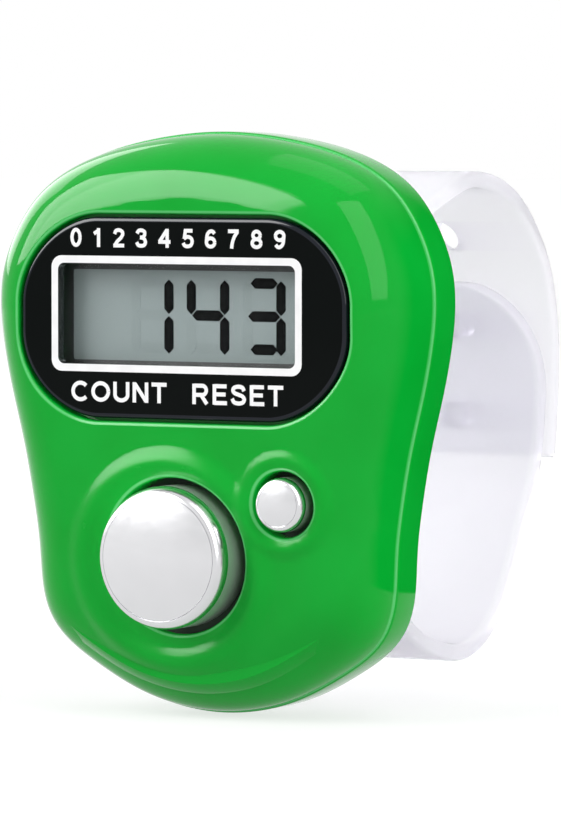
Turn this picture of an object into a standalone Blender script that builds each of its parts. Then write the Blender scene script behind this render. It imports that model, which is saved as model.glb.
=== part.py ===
"""Finger tally counter: a domed two-shell case with a digital display, two push buttons,
a button cell behind a twist-lock cover, and a two-piece snap strap that closes into a ring.

Metres. X is to the right, Y to the back and Z up. The front of the case faces -Y.
The origin is the centre of the finger ring, at the mid height of the case.
A depth is a distance behind the crease that runs round the case between dome and side wall.
"""

import math

import bmesh
import bpy
from mathutils import Vector
from mathutils.geometry import delaunay_2d_cdt

# Overall sizes of the case
BODY_WIDTH = 0.0340
BODY_HEIGHT = 0.0410
CREASE_Y = -0.0190

# Half of the case outline, top to bottom, as shares of half the width and half the height
OUTLINE_SHAPE = (
    (0.000, 1.000),
    (0.482, 0.946),
    (0.794, 0.820),
    (0.959, 0.610),
    (1.000, 0.415),
    (0.965, 0.176),
    (0.882, -0.122),
    (0.829, -0.415),
    (0.818, -0.585),
    (0.745, -0.741),
    (0.529, -0.873),
    (0.282, -0.966),
    (0.000, -1.000),
)
OUTLINE_STEPS = 72

# Dome of the front case
DOME_RISE = 0.0059
DOME_EDGE = 0.0047
CROWN_CENTRE_Z = 0.0060
CROWN_DROP = 3.3
SIDE_WALL = 0.0030
CASE_WALL = 0.0012
DOME_RINGS = 4
POINT_SPACING = 0.0004
DOME_GRID = 0.0023

# Count button and the soft collar round its hole
COUNT_X = -0.0008
COUNT_Z = -0.0091
COUNT_RADIUS = 0.0050
COUNT_GAP = 0.0005
COUNT_FACE_RISE = 0.0021
COUNT_SHELL = 0.0005
COUNT_FACE_THICKNESS = 0.0010
COUNT_FLANGE = 0.0006
COUNT_POST_RADIUS = 0.0015
COLLAR_MARGIN = 0.0018
COLLAR_SPREAD = 0.0016
COLLAR_RISE = 0.00042

# Reset button and the raised ring round its hole
RESET_DIRECTION = math.radians(24.15)
RESET_CLEARANCE = 0.00073
RESET_RADIUS = 0.0019
RESET_GAP = 0.0004
RESET_FACE_RISE = 0.0005
RESET_FLANGE = 0.0004
RESET_STEM_RADIUS = 0.0009
RESET_RING_RADIUS = 0.0031
RESET_RING_SPREAD = 0.0009
RESET_RING_RISE = 0.00022
COLLAR_FADE_RADIUS = 0.00682

# Both buttons
BUTTON_FLANGE_THICKNESS = 0.0006
BUTTON_EDGE = 0.00035
BUTTON_TRAVEL = 0.0005
RUNNING_GAP = 0.0001
SEAT_GAP = 0.00005

# Display lens and the recess that it sits in
LENS_SIDE_MARGIN = 0.0040
LENS_TOP_MARGIN = 0.00565
LENS_BOTTOM_Z = 0.00015
LENS_CORNER = 0.0056
LENS_BULGE = 0.0005
LENS_RECESS_DEPTH = 0.00025
LENS_THICKNESS = 0.0009
LENS_LEDGE_THICKNESS = 0.00075
LENS_GAP = 0.0002
LENS_STEPS = 56

# Display behind the lens
DISPLAY_X = -0.0005
DISPLAY_RISE = 0.0002
WINDOW_SIDE_MARGIN = 0.0027
WINDOW_END_MARGIN = 0.00315
WINDOW_CORNER = 0.0008
GLASS_SIDE_OVERLAP = 0.0009
GLASS_END_OVERLAP = 0.0006
GLASS_THICKNESS = 0.00055
GLASS_TO_CEILING = 0.00015
REAR_GLASS_STEP = 0.0009
REFLECTOR_THICKNESS = 0.00015
BEZEL_WALL = 0.0005
BEZEL_LEDGE = 0.0009
BEZEL_POCKET_GAP = 0.00005
ZEBRA_SIDE_MARGIN = 0.0014
ZEBRA_HEIGHT = 0.0010

# Circuit board and the parts on it
BOARD_FRONT_DEPTH = 0.0002
BOARD_THICKNESS = 0.0010
BOARD_EDGE_GAP = 0.0004
BOARD_SCREW_INSET = 0.00355
BOARD_SCREW_Z = -0.0004
COUNT_SWITCH_MARGIN = 0.0015
COUNT_SWITCH_HEIGHT = 0.0035
COUNT_PLUNGER_RADIUS = 0.0017
RESET_SWITCH_SIZE = 0.0045
RESET_STEM_LENGTH = 0.00055
RESET_PLUNGER_RADIUS = 0.0010
SWITCH_CORNER = 0.0006
SWITCH_COVER = 0.0002
SWITCH_COVER_INSET = 0.0001
COUNT_PLUNGER_RISE = 0.0008
RESET_PLUNGER_RISE = 0.0004
SWITCH_BORE_FLOOR = 0.0008
PLUNGER_EDGE = 0.0002
CHIP_X = 0.0
CHIP_BELOW_SCREWS = 0.0022
CHIP_RADIUS = 0.0024
CHIP_RISE = 0.0010
CAPACITOR_SIZE = (0.0020, 0.0008, 0.00125)
RESISTOR_SIZE = (0.0016, 0.00045, 0.0008)
SMALL_PART_TO_SCREW = 0.0024

# Button cell, its contacts and its twist-lock cover
CELL_RADIUS = 0.0058
CELL_CAP_STEP = 0.0013
CELL_THICKNESS = 0.00305
CELL_CAP_THICKNESS = 0.0004
CELL_TO_BOARD = 0.0007
CELL_EDGE = 0.0002
CONTACT_THICKNESS = 0.0002
NEGATIVE_LEAF_RADIUS = 0.0022
NEGATIVE_ARM_LENGTH = 0.0050
NEGATIVE_ARM_WIDTH = 0.0016
POSITIVE_HALF_ANGLE = math.radians(28.0)
POSITIVE_FOOT = 0.0010
COVER_NECK_MARGIN = 0.0002
COVER_GAP = 0.00015
COVER_RIM = 0.0011
COVER_FLANGE = 0.0003
COVER_TO_CELL = 0.00025
COVER_THICKNESS = 0.00195
COVER_TAB_REACH = 0.0007
COVER_TAB_HALF_ANGLE = math.radians(14.0)
COVER_NOTCH_HALF_ANGLE = math.radians(18.0)
COVER_TURN = math.radians(45.0)
COVER_EDGE = 0.0001
COIN_SLOT = (0.0092, 0.0014, 0.0006)
SEAL_THICKNESS = 0.0003
WELL_WALL = 0.0008
WELL_STEP = 0.0003

# Back case
BACK_STEP = 0.0008
BACK_TAPER = 0.0033
BACK_INNER_MARGIN = 0.0005
LIP_HEIGHT = 0.0012
LIP_WALL = 0.0006

# Case screws and board screws
TOP_SCREW_INSET = 0.0094
BOTTOM_SCREW_INSET = 0.0047
BOTTOM_SCREW_TURNS = (math.radians(180.0), math.radians(225.0))
BOTTOM_SCREW_CLEARANCE = 0.00036
CASE_SCREW_HEAD_RADIUS = 0.0011
CASE_SCREW_HEAD = 0.0007
CASE_SCREW_RADIUS = 0.0006
CASE_SCREW_LENGTH = 0.0080
BOSS_RADIUS = 0.0012
POST_RADIUS = 0.0015
BOARD_SCREW_HEAD_RADIUS = 0.0009
BOARD_SCREW_HEAD = 0.0005
BOARD_SCREW_RADIUS = 0.0004
BOARD_SCREW_LENGTH = 0.0035
BOARD_BOSS_RADIUS = 0.0010
SCREW_GAP = 0.0001
SCREW_RECESS_DEPTH = 0.0003

# Screw head shape, as shares of the head's radius
SCREW_EDGE = 0.2
SCREW_RECESS_REACH = 0.62
SCREW_RECESS_HALF_WIDTH = 0.14

# Strap, its pins and the lugs that hold them
STRAP_THICKNESS = 0.0012
STRAP_ROOT_WIDTH = 0.0160
STRAP_WIDTH = 0.0220
STRAP_FLARE = 0.0110
PIN_RADIUS = 0.00055
PIN_OVERHANG = 0.0016
PIN_Z = 0.0102
PIN_GAP = 0.0001
EYE_RADIUS = 0.00105
LUG_WIDTH = 0.0015
LUG_GAP = 0.0003
LUG_RADIUS = 0.0012
SNAP_GAP = 0.0009
TONGUE_CORNER_WIDTH = 0.0065
TONGUE_CORNER_LENGTH = 0.0085
STUD_RADIUS = 0.00095
STUD_GAP = 0.0001
STUD_X = 0.0036
STUD_PITCH = 0.0067
STUD_TOP_Z = 0.0060
STRAP_STEPS = 26

# Middle lines of the two strap halves past their pins, as depth and height.
# The lower one ends where its tongue starts to run along the inside of the upper half.
UPPER_STRAP_PATH = (
    (0.0120, 0.0142),
    (0.0155, 0.0164),
    (0.0190, 0.0170),
    (0.0236, 0.0161),
    (0.0271, 0.0140),
    (0.0300, 0.0106),
    (0.0314, 0.0065),
    (0.0316, 0.0029),
    (0.0313, -0.0010),
    (0.0309, -0.0037),
)
LOWER_STRAP_PATH = (
    (0.0112, -0.0152),
    (0.0145, -0.0169),
    (0.0184, -0.0167),
    (0.0217, -0.0148),
    (0.0240, -0.0119),
    (0.0261, -0.0084),
    (0.0281, -0.0052),
)
TONGUE_START_Z = -0.0012
TONGUE_TIP_Z = 0.0100

ROUND_STEPS = 40
SMALL_ROUND_STEPS = 20
TINY_ROUND_STEPS = 14

# How far a joined shape is buried in its piece, and how far a cutter reaches past a face
SHAPE_OVERLAP = 0.0004
CUT_BEYOND = 0.0010

# Colours as linear red, green and blue, then roughness and metallic
FINISHES = {
    "green plastic": ((0.020, 0.380, 0.040), 0.22, 0.0),
    "chrome": ((0.900, 0.900, 0.910), 0.08, 1.0),
    "black lens": ((0.010, 0.010, 0.012), 0.08, 0.0),
    "clear strap": ((0.850, 0.850, 0.900), 0.25, 0.0),
    "glass": ((0.450, 0.480, 0.460), 0.10, 0.0),
    "reflector": ((0.550, 0.560, 0.540), 0.35, 0.6),
    "black plastic": ((0.015, 0.015, 0.016), 0.45, 0.0),
    "board": ((0.020, 0.160, 0.060), 0.50, 0.0),
    "steel": ((0.620, 0.620, 0.630), 0.30, 1.0),
    "brass": ((0.750, 0.560, 0.240), 0.30, 1.0),
    "rubber": ((0.050, 0.050, 0.055), 0.70, 0.0),
    "ceramic": ((0.550, 0.420, 0.280), 0.45, 0.0),
}


def y_at(depth):
    """Y of a depth behind the crease of the case."""
    return CREASE_Y + depth


def clear_scene():
    """Take out whatever objects the file opened with."""
    for obj in list(bpy.data.objects):
        bpy.data.objects.remove(obj, do_unlink=True)


def finish_material(name, finish):
    """A Principled material of the part's own."""
    colour, roughness, metallic = FINISHES[finish]
    material = bpy.data.materials.new(name + "_finish")
    material.use_nodes = True
    shader = material.node_tree.nodes["Principled BSDF"]
    shader.inputs["Base Color"].default_value = (*colour, 1.0)
    shader.inputs["Roughness"].default_value = roughness
    shader.inputs["Metallic"].default_value = metallic
    return material


def add_object(name, bm, finish=None, origin=(0.0, 0.0, 0.0)):
    """Turn a bmesh in world coordinates into an object with the given origin."""
    bmesh.ops.recalc_face_normals(bm, faces=bm.faces[:])
    bmesh.ops.translate(bm, verts=bm.verts[:], vec=-Vector(origin))
    mesh = bpy.data.meshes.new(name)
    bm.to_mesh(mesh)
    bm.free()
    mesh.shade_smooth()
    mesh.set_sharp_from_angle(angle=math.radians(30.0))
    obj = bpy.data.objects.new(name, mesh)
    obj.location = origin
    bpy.context.scene.collection.objects.link(obj)
    if finish:
        mesh.materials.append(finish_material(name, finish))
    return obj


def change_shape(target, tool, operation):
    """Add or take away a hidden tool shape with an exact Boolean."""
    tool.hide_render = True
    tool.display_type = "WIRE"
    modifier = target.modifiers.new(tool.name, "BOOLEAN")
    modifier.operation = operation
    modifier.solver = "EXACT"
    modifier.object = tool


# Outlines, as lists of X and Z


def smooth_closed(points, count):
    """Evenly spaced points on a smooth closed curve through the given points."""
    dense = []
    total = len(points)
    for index in range(total):
        before, start, end, after = (points[(index + step) % total] for step in (-1, 0, 1, 2))
        dense += [spline_point(before, start, end, after, step / 12) for step in range(12)]
    return even_points(dense + dense[:1], count + 1)[:-1]


def smooth_open(points, count):
    """Evenly spaced points on a smooth open curve through the given points."""
    first = tuple(2 * a - b for a, b in zip(points[0], points[1]))
    last = tuple(2 * a - b for a, b in zip(points[-1], points[-2]))
    padded = [first, *points, last]
    dense = []
    for index in range(1, len(padded) - 2):
        span = padded[index - 1:index + 3]
        dense += [spline_point(*span, step / 12) for step in range(12)]
    return even_points(dense + [points[-1]], count)


def spline_point(before, start, end, after, share):
    """A point of a Catmull-Rom curve between start and end."""
    weights = (
        0.5 * share * (share * (2 - share) - 1),
        0.5 * (share * share * (3 * share - 5) + 2),
        0.5 * share * (share * (4 - 3 * share) + 1),
        0.5 * share * share * (share - 1),
    )
    points = (before, start, end, after)
    return tuple(sum(weight * point[axis] for weight, point in zip(weights, points)) for axis in (0, 1))


def even_points(points, count):
    """The given number of points at even steps along a line of points."""
    lengths = [0.0]
    for start, end in zip(points, points[1:]):
        lengths.append(lengths[-1] + math.dist(start, end))
    result = []
    place = 0
    for index in range(count):
        wanted = lengths[-1] * index / (count - 1)
        while place < len(points) - 2 and lengths[place + 1] < wanted:
            place += 1
        span = lengths[place + 1] - lengths[place]
        share = (wanted - lengths[place]) / span
        start, end = points[place], points[place + 1]
        result.append(tuple(a + (b - a) * share for a, b in zip(start, end)))
    return result


def case_outline():
    """The outline of the case, from the top clockwise as seen from the front."""
    half_width, half_height = BODY_WIDTH / 2, BODY_HEIGHT / 2
    right = [(x * half_width, z * half_height) for x, z in OUTLINE_SHAPE]
    left = [(-x, z) for x, z in reversed(right[1:-1])]
    return smooth_closed(right + left, OUTLINE_STEPS)


def outline_half_width(z):
    """Half the width of the case at a height."""
    right_side = [point for point in case_outline() if point[0] > 0]
    return min(right_side, key=lambda point: abs(point[1] - z))[0]


def bottom_screw_place(distance):
    """The place of the lower left screw, round the count button, at its inset from the case's edge."""
    outline = case_outline()
    high, low = BOTTOM_SCREW_TURNS
    for _ in range(24):
        turn = (high + low) / 2
        x, z = COUNT_X + distance * math.cos(turn), COUNT_Z + distance * math.sin(turn)
        if edge_distance(outline, x, z) > BOTTOM_SCREW_INSET:
            high = turn
        else:
            low = turn
    return (x, z)


def inset_outline(loop, inset):
    """A clockwise outline moved inwards along its normals."""
    result = []
    total = len(loop)
    for index, (x, z) in enumerate(loop):
        ahead = loop[(index + 1) % total]
        behind = loop[index - 1]
        run, climb = ahead[0] - behind[0], ahead[1] - behind[1]
        length = math.hypot(run, climb)
        result.append((x + climb / length * inset, z - run / length * inset))
    return result


def circle(x, z, radius, steps):
    """A clockwise circle."""
    turns = (-2 * math.pi * index / steps for index in range(steps))
    return [(x + radius * math.cos(turn), z + radius * math.sin(turn)) for turn in turns]


def rounded_rectangle(x, z, width, height, corner, steps_per_corner, bulge=0.0):
    """A clockwise rectangle with round corners, whose sides may swell outwards."""
    half_width, half_height = width / 2 - bulge, height / 2 - bulge
    result = []
    for quarter, (sign_x, sign_z) in enumerate(((1, 1), (1, -1), (-1, -1), (-1, 1))):
        for step in range(steps_per_corner + 1):
            turn = math.pi / 2 * (1 - quarter - step / steps_per_corner)
            local_x = sign_x * (half_width - corner) + corner * math.cos(turn)
            local_z = sign_z * (half_height - corner) + corner * math.sin(turn)
            swell_x = bulge * (1 - (local_z / half_height) ** 2)
            swell_z = bulge * (1 - (local_x / half_width) ** 2)
            local_x += math.copysign(swell_x, local_x)
            local_z += math.copysign(swell_z, local_z)
            result.append((x + local_x, z + local_z))
    return result


def lens_outline(margin):
    """The outline of the display lens, or of its recess, evenly stepped."""
    width, height = LENS_WIDTH + 2 * margin, LENS_HEIGHT + 2 * margin
    corner = min(LENS_CORNER, LENS_HEIGHT / 2 - 2 * LENS_BULGE) + margin
    loop = rounded_rectangle(0.0, LENS_CENTRE_Z, width, height, corner, 10, LENS_BULGE)
    return even_points(loop + loop[:1], LENS_STEPS + 1)[:-1]


def window_outline():
    """The display window in the floor of the lens recess."""
    return rounded_rectangle(DISPLAY_X, DISPLAY_Z, WINDOW_WIDTH, WINDOW_HEIGHT, WINDOW_CORNER, 2)


def inside(loop, x, z):
    """Whether a point lies inside a closed outline."""
    found = False
    for (ax, az), (bx, bz) in zip(loop, loop[1:] + loop[:1]):
        if (az > z) != (bz > z) and x < ax + (z - az) / (bz - az) * (bx - ax):
            found = not found
    return found


def edge_distance(loop, x, z):
    """The distance from a point to a closed outline."""
    best = math.inf
    for (ax, az), (bx, bz) in zip(loop, loop[1:] + loop[:1]):
        run, climb = bx - ax, bz - az
        share = ((x - ax) * run + (z - az) * climb) / (run * run + climb * climb)
        share = min(1.0, max(0.0, share))
        best = min(best, math.hypot(x - ax - run * share, z - az - climb * share))
    return best


# Height of the front case over its crease


def smooth_bump(distance, spread):
    """One at no distance, falling smoothly to nothing at the spread."""
    if abs(distance) >= spread:
        return 0.0
    return 0.5 + 0.5 * math.cos(math.pi * distance / spread)


def quarter_round(inset, run, rise):
    """Height of a quarter ellipse over an edge, level past its run."""
    if inset >= run:
        return rise
    return rise * math.sqrt(max(0.0, 1.0 - (1.0 - inset / run) ** 2))


def outer_rise(outline, x, z):
    """Height of the outer face of the dome."""
    crown = CROWN_DROP * (z - CROWN_CENTRE_Z) ** 2
    rise = quarter_round(edge_distance(outline, x, z), DOME_EDGE, DOME_RISE - crown)
    from_reset = math.hypot(x - RESET_X, z - RESET_Z)
    from_count = math.hypot(x - COUNT_X, z - COUNT_Z)
    collar_fade = 1.0 - smooth_bump(from_reset, COLLAR_FADE_RADIUS)
    rise += COLLAR_RISE * collar_fade * smooth_bump(from_count - COLLAR_RADIUS, COLLAR_SPREAD)
    rise += RESET_RING_RISE * smooth_bump(from_reset - RESET_RING_RADIUS, RESET_RING_SPREAD)
    return rise


def inner_rise(outline, x, z):
    """Height of the inner face of the dome, level under the lens and the buttons."""
    inset = edge_distance(outline, x, z) - CASE_WALL
    rise = quarter_round(max(0.0, inset), DOME_EDGE - CASE_WALL, DOME_RISE - CASE_WALL)
    return min(CEILING_RISE, rise)


# Mesh building


def ring_of_verts(bm, loop, depth_of):
    """Vertices along an outline, each at the depth that depth_of gives."""
    return [bm.verts.new((x, y_at(depth_of(x, z)), z)) for x, z in loop]


def level_ring(bm, loop, depth):
    """Vertices along an outline, all at one depth."""
    return ring_of_verts(bm, loop, lambda x, z: depth)


def bridge(bm, first, second):
    """Quads between two rings with the same number of vertices."""
    total = len(first)
    for index in range(total):
        ahead = (index + 1) % total
        bm.faces.new((first[index], first[ahead], second[ahead], second[index]))


def fill_between(bm, boundary, holes, inner_points=(), depth_of=None):
    """Triangles over the area inside a boundary ring and outside the hole rings."""
    rings = [boundary, *holes]
    verts = [vert for ring in rings for vert in ring]
    places = [Vector((vert.co.x, vert.co.z)) for vert in verts]
    edges = []
    for ring in rings:
        start = verts.index(ring[0])
        edges += [(start + index, start + (index + 1) % len(ring)) for index in range(len(ring))]
    for x, z in inner_points:
        places.append(Vector((x, z)))
        verts.append(bm.verts.new((x, y_at(depth_of(x, z)), z)))
    outer_loop = [(vert.co.x, vert.co.z) for vert in boundary]
    hole_loops = [[(vert.co.x, vert.co.z) for vert in ring] for ring in holes]
    coords, _, faces, sources, _, _ = delaunay_2d_cdt(places, edges, [], 1, 1e-9)
    for face in faces:
        middle = sum((coords[index] for index in face), Vector((0.0, 0.0))) / 3
        if not inside(outer_loop, *middle) or any(inside(loop, *middle) for loop in hole_loops):
            continue
        bm.faces.new([verts[sources[index][0]] for index in face])


def spread_points(candidates, boundary, holes, spacing):
    """The candidates inside the boundary, outside the holes and not too near each other."""
    kept = []
    edges = [boundary, *holes]
    for x, z in candidates:
        if not inside(boundary, x, z) or any(inside(hole, x, z) for hole in holes):
            continue
        if any(edge_distance(loop, x, z) < spacing * 0.6 for loop in edges):
            continue
        if all(math.hypot(x - kept_x, z - kept_z) > spacing for kept_x, kept_z in kept):
            kept.append((x, z))
    return kept


def grid_points(pitch):
    """A square grid over the whole case."""
    columns = int(BODY_WIDTH / 2 / pitch) + 1
    rows = int(BODY_HEIGHT / 2 / pitch) + 1
    return [(pitch * i, pitch * j) for i in range(-columns, columns + 1) for j in range(-rows, rows + 1)]


def prism_into(bm, loop, front_depth, back_depth):
    """A closed prism along Y over an outline."""
    front = level_ring(bm, loop, front_depth)
    back = level_ring(bm, loop, back_depth)
    bridge(bm, front, back)
    bm.faces.new(front)
    bm.faces.new(back[::-1])


def prism(name, loop, front_depth, back_depth, finish=None):
    """A closed prism along Y as an object."""
    bm = bmesh.new()
    prism_into(bm, loop, front_depth, back_depth)
    return add_object(name, bm, finish)


def turned_into(bm, profile, x, z, steps):
    """A solid turned about Y at X and Z, from radius and depth pairs that start and end on the axis."""
    rings = [level_ring(bm, circle(x, z, radius, steps), depth) for radius, depth in profile[1:-1]]
    for first, second in zip(rings, rings[1:]):
        bridge(bm, first, second)
    for (_, depth), ring in ((profile[0], rings[0]), (profile[-1], rings[-1])):
        tip = bm.verts.new((x, y_at(depth), z))
        for index in range(steps):
            bm.faces.new((ring[index], ring[(index + 1) % steps], tip))


def turned(name, profile, x, z, steps, finish=None):
    """A turned solid whose origin is on its axis, at its first depth."""
    bm = bmesh.new()
    turned_into(bm, profile, x, z, steps)
    return add_object(name, bm, finish, (x, y_at(profile[0][1]), z))


def tube_into(bm, x, z, inner, outer, front_depth, back_depth, steps):
    """A closed tube along Y."""
    corners = ((outer, front_depth), (outer, back_depth), (inner, back_depth), (inner, front_depth))
    rings = [level_ring(bm, circle(x, z, radius, steps), depth) for radius, depth in corners]
    for first, second in zip(rings, rings[1:] + rings[:1]):
        bridge(bm, first, second)


def box_loop(x, z, width, height):
    """A clockwise rectangle."""
    half_width, half_height = width / 2, height / 2
    corners = ((-1, 1), (1, 1), (1, -1), (-1, -1))
    return [(x + sign_x * half_width, z + sign_z * half_height) for sign_x, sign_z in corners]


def chamfered_loop(x, z, size, chamfer):
    """A clockwise square with cut corners."""
    half, short = size / 2, size / 2 - chamfer
    corners = (
        (-short, half), (short, half), (half, short), (half, -short),
        (short, -half), (-short, -half), (-half, -short), (-half, short),
    )
    return [(x + corner_x, z + corner_z) for corner_x, corner_z in corners]


# Places that several pieces share

COUNT_FLANGE_RADIUS = COUNT_RADIUS + COUNT_GAP + COUNT_FLANGE
RESET_FLANGE_RADIUS = RESET_RADIUS + RESET_GAP + RESET_FLANGE
BUTTON_DISTANCE = COUNT_FLANGE_RADIUS + RESET_FLANGE_RADIUS + RESET_CLEARANCE
RESET_X = COUNT_X + BUTTON_DISTANCE * math.cos(RESET_DIRECTION)
RESET_Z = COUNT_Z + BUTTON_DISTANCE * math.sin(RESET_DIRECTION)
COLLAR_RADIUS = COUNT_RADIUS + COUNT_GAP + COLLAR_MARGIN
BOARD_BACK_DEPTH = BOARD_FRONT_DEPTH + BOARD_THICKNESS
CELL_FRONT_DEPTH = BOARD_BACK_DEPTH + CELL_TO_BOARD
CELL_BACK_DEPTH = CELL_FRONT_DEPTH + CELL_THICKNESS
COVER_FRONT_DEPTH = CELL_BACK_DEPTH + COVER_TO_CELL
COVER_BACK_DEPTH = COVER_FRONT_DEPTH + COVER_THICKNESS
BACK_DEPTH = COVER_BACK_DEPTH + SEAT_GAP
BACK_FLOOR_DEPTH = BACK_DEPTH - CASE_WALL
WELL_FRONT_DEPTH = CELL_FRONT_DEPTH + WELL_STEP
LENS_WIDTH = BODY_WIDTH - 2 * LENS_SIDE_MARGIN
LENS_HEIGHT = BODY_HEIGHT / 2 - LENS_TOP_MARGIN - LENS_BOTTOM_Z
LENS_CENTRE_Z = LENS_BOTTOM_Z + LENS_HEIGHT / 2
LENS_FRONT_DEPTH = LENS_RECESS_DEPTH - DOME_RISE
LENS_BACK_DEPTH = LENS_FRONT_DEPTH + LENS_THICKNESS
LENS_LEDGE_DEPTH = LENS_BACK_DEPTH + RUNNING_GAP
CEILING_RISE = -LENS_LEDGE_DEPTH - LENS_LEDGE_THICKNESS
COUNT_FACE_DEPTH = -DOME_RISE - COUNT_FACE_RISE
RESET_FACE_DEPTH = -DOME_RISE - RESET_FACE_RISE
COUNT_SWITCH_SIZE = 2 * (COUNT_RADIUS - COUNT_SHELL - COUNT_SWITCH_MARGIN)
FLANGE_FRONT_DEPTH = -CEILING_RISE + RUNNING_GAP
FLANGE_BACK_DEPTH = FLANGE_FRONT_DEPTH + BUTTON_FLANGE_THICKNESS
RESET_SWITCH_TOP = FLANGE_BACK_DEPTH + RESET_STEM_LENGTH + RUNNING_GAP + RESET_PLUNGER_RISE + SWITCH_COVER
RESET_SWITCH_HEIGHT = BOARD_FRONT_DEPTH - SEAT_GAP - RESET_SWITCH_TOP
DISPLAY_Z = LENS_CENTRE_Z + DISPLAY_RISE
WINDOW_WIDTH = LENS_WIDTH - 2 * WINDOW_SIDE_MARGIN
WINDOW_HEIGHT = LENS_HEIGHT - 2 * WINDOW_END_MARGIN
GLASS_WIDTH = WINDOW_WIDTH + 2 * GLASS_SIDE_OVERLAP
GLASS_HEIGHT = WINDOW_HEIGHT + 2 * GLASS_END_OVERLAP
FRONT_GLASS_DEPTH = -CEILING_RISE + GLASS_TO_CEILING
COVER_LEDGE_DEPTH = COVER_BACK_DEPTH - COVER_FLANGE - SEAL_THICKNESS - RUNNING_GAP
COVER_NECK_RADIUS = CELL_RADIUS + COVER_NECK_MARGIN
COVER_RADIUS = COVER_NECK_RADIUS + COVER_RIM
COVER_HOLE_RADIUS = COVER_NECK_RADIUS + COVER_GAP
NOTCH_RADIUS = COVER_NECK_RADIUS + COVER_TAB_REACH + COVER_GAP
WELL_RADIUS = NOTCH_RADIUS + RUNNING_GAP
BEZEL_WIDTH = GLASS_WIDTH + 2 * (RUNNING_GAP + BEZEL_WALL)
BEZEL_HEIGHT = GLASS_HEIGHT + 2 * (RUNNING_GAP + BEZEL_WALL)
BEZEL_FRONT_DEPTH = -CEILING_RISE + RUNNING_GAP
BEZEL_BACK_DEPTH = BOARD_FRONT_DEPTH - RUNNING_GAP
TOP_SCREW_X = BODY_WIDTH / 2 - TOP_SCREW_INSET
TOP_SCREW_Z = DISPLAY_Z + BEZEL_HEIGHT / 2 + RUNNING_GAP + BOSS_RADIUS
CHIP_Z = TOP_SCREW_Z - CHIP_BELOW_SCREWS
SMALL_PART_X = TOP_SCREW_X - SMALL_PART_TO_SCREW
BOTTOM_SCREW_DISTANCE = COUNT_FLANGE_RADIUS + BOSS_RADIUS + BOTTOM_SCREW_CLEARANCE
BOTTOM_SCREW_X, BOTTOM_SCREW_Z = bottom_screw_place(BOTTOM_SCREW_DISTANCE)
CASE_SCREW_PLACES = (
    (-TOP_SCREW_X, TOP_SCREW_Z),
    (TOP_SCREW_X, TOP_SCREW_Z),
    (BOTTOM_SCREW_X, BOTTOM_SCREW_Z),
    (-BOTTOM_SCREW_X, BOTTOM_SCREW_Z),
)
BOARD_SCREW_X = outline_half_width(BOARD_SCREW_Z) - BOARD_SCREW_INSET
BOARD_SCREW_PLACES = ((-BOARD_SCREW_X, BOARD_SCREW_Z), (BOARD_SCREW_X, BOARD_SCREW_Z))
BOSS_END_DEPTH = SIDE_WALL - RUNNING_GAP
LUG_INNER_X = STRAP_ROOT_WIDTH / 2 + LUG_GAP
PIN_DEPTH = BACK_DEPTH + RUNNING_GAP + EYE_RADIUS


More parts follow.
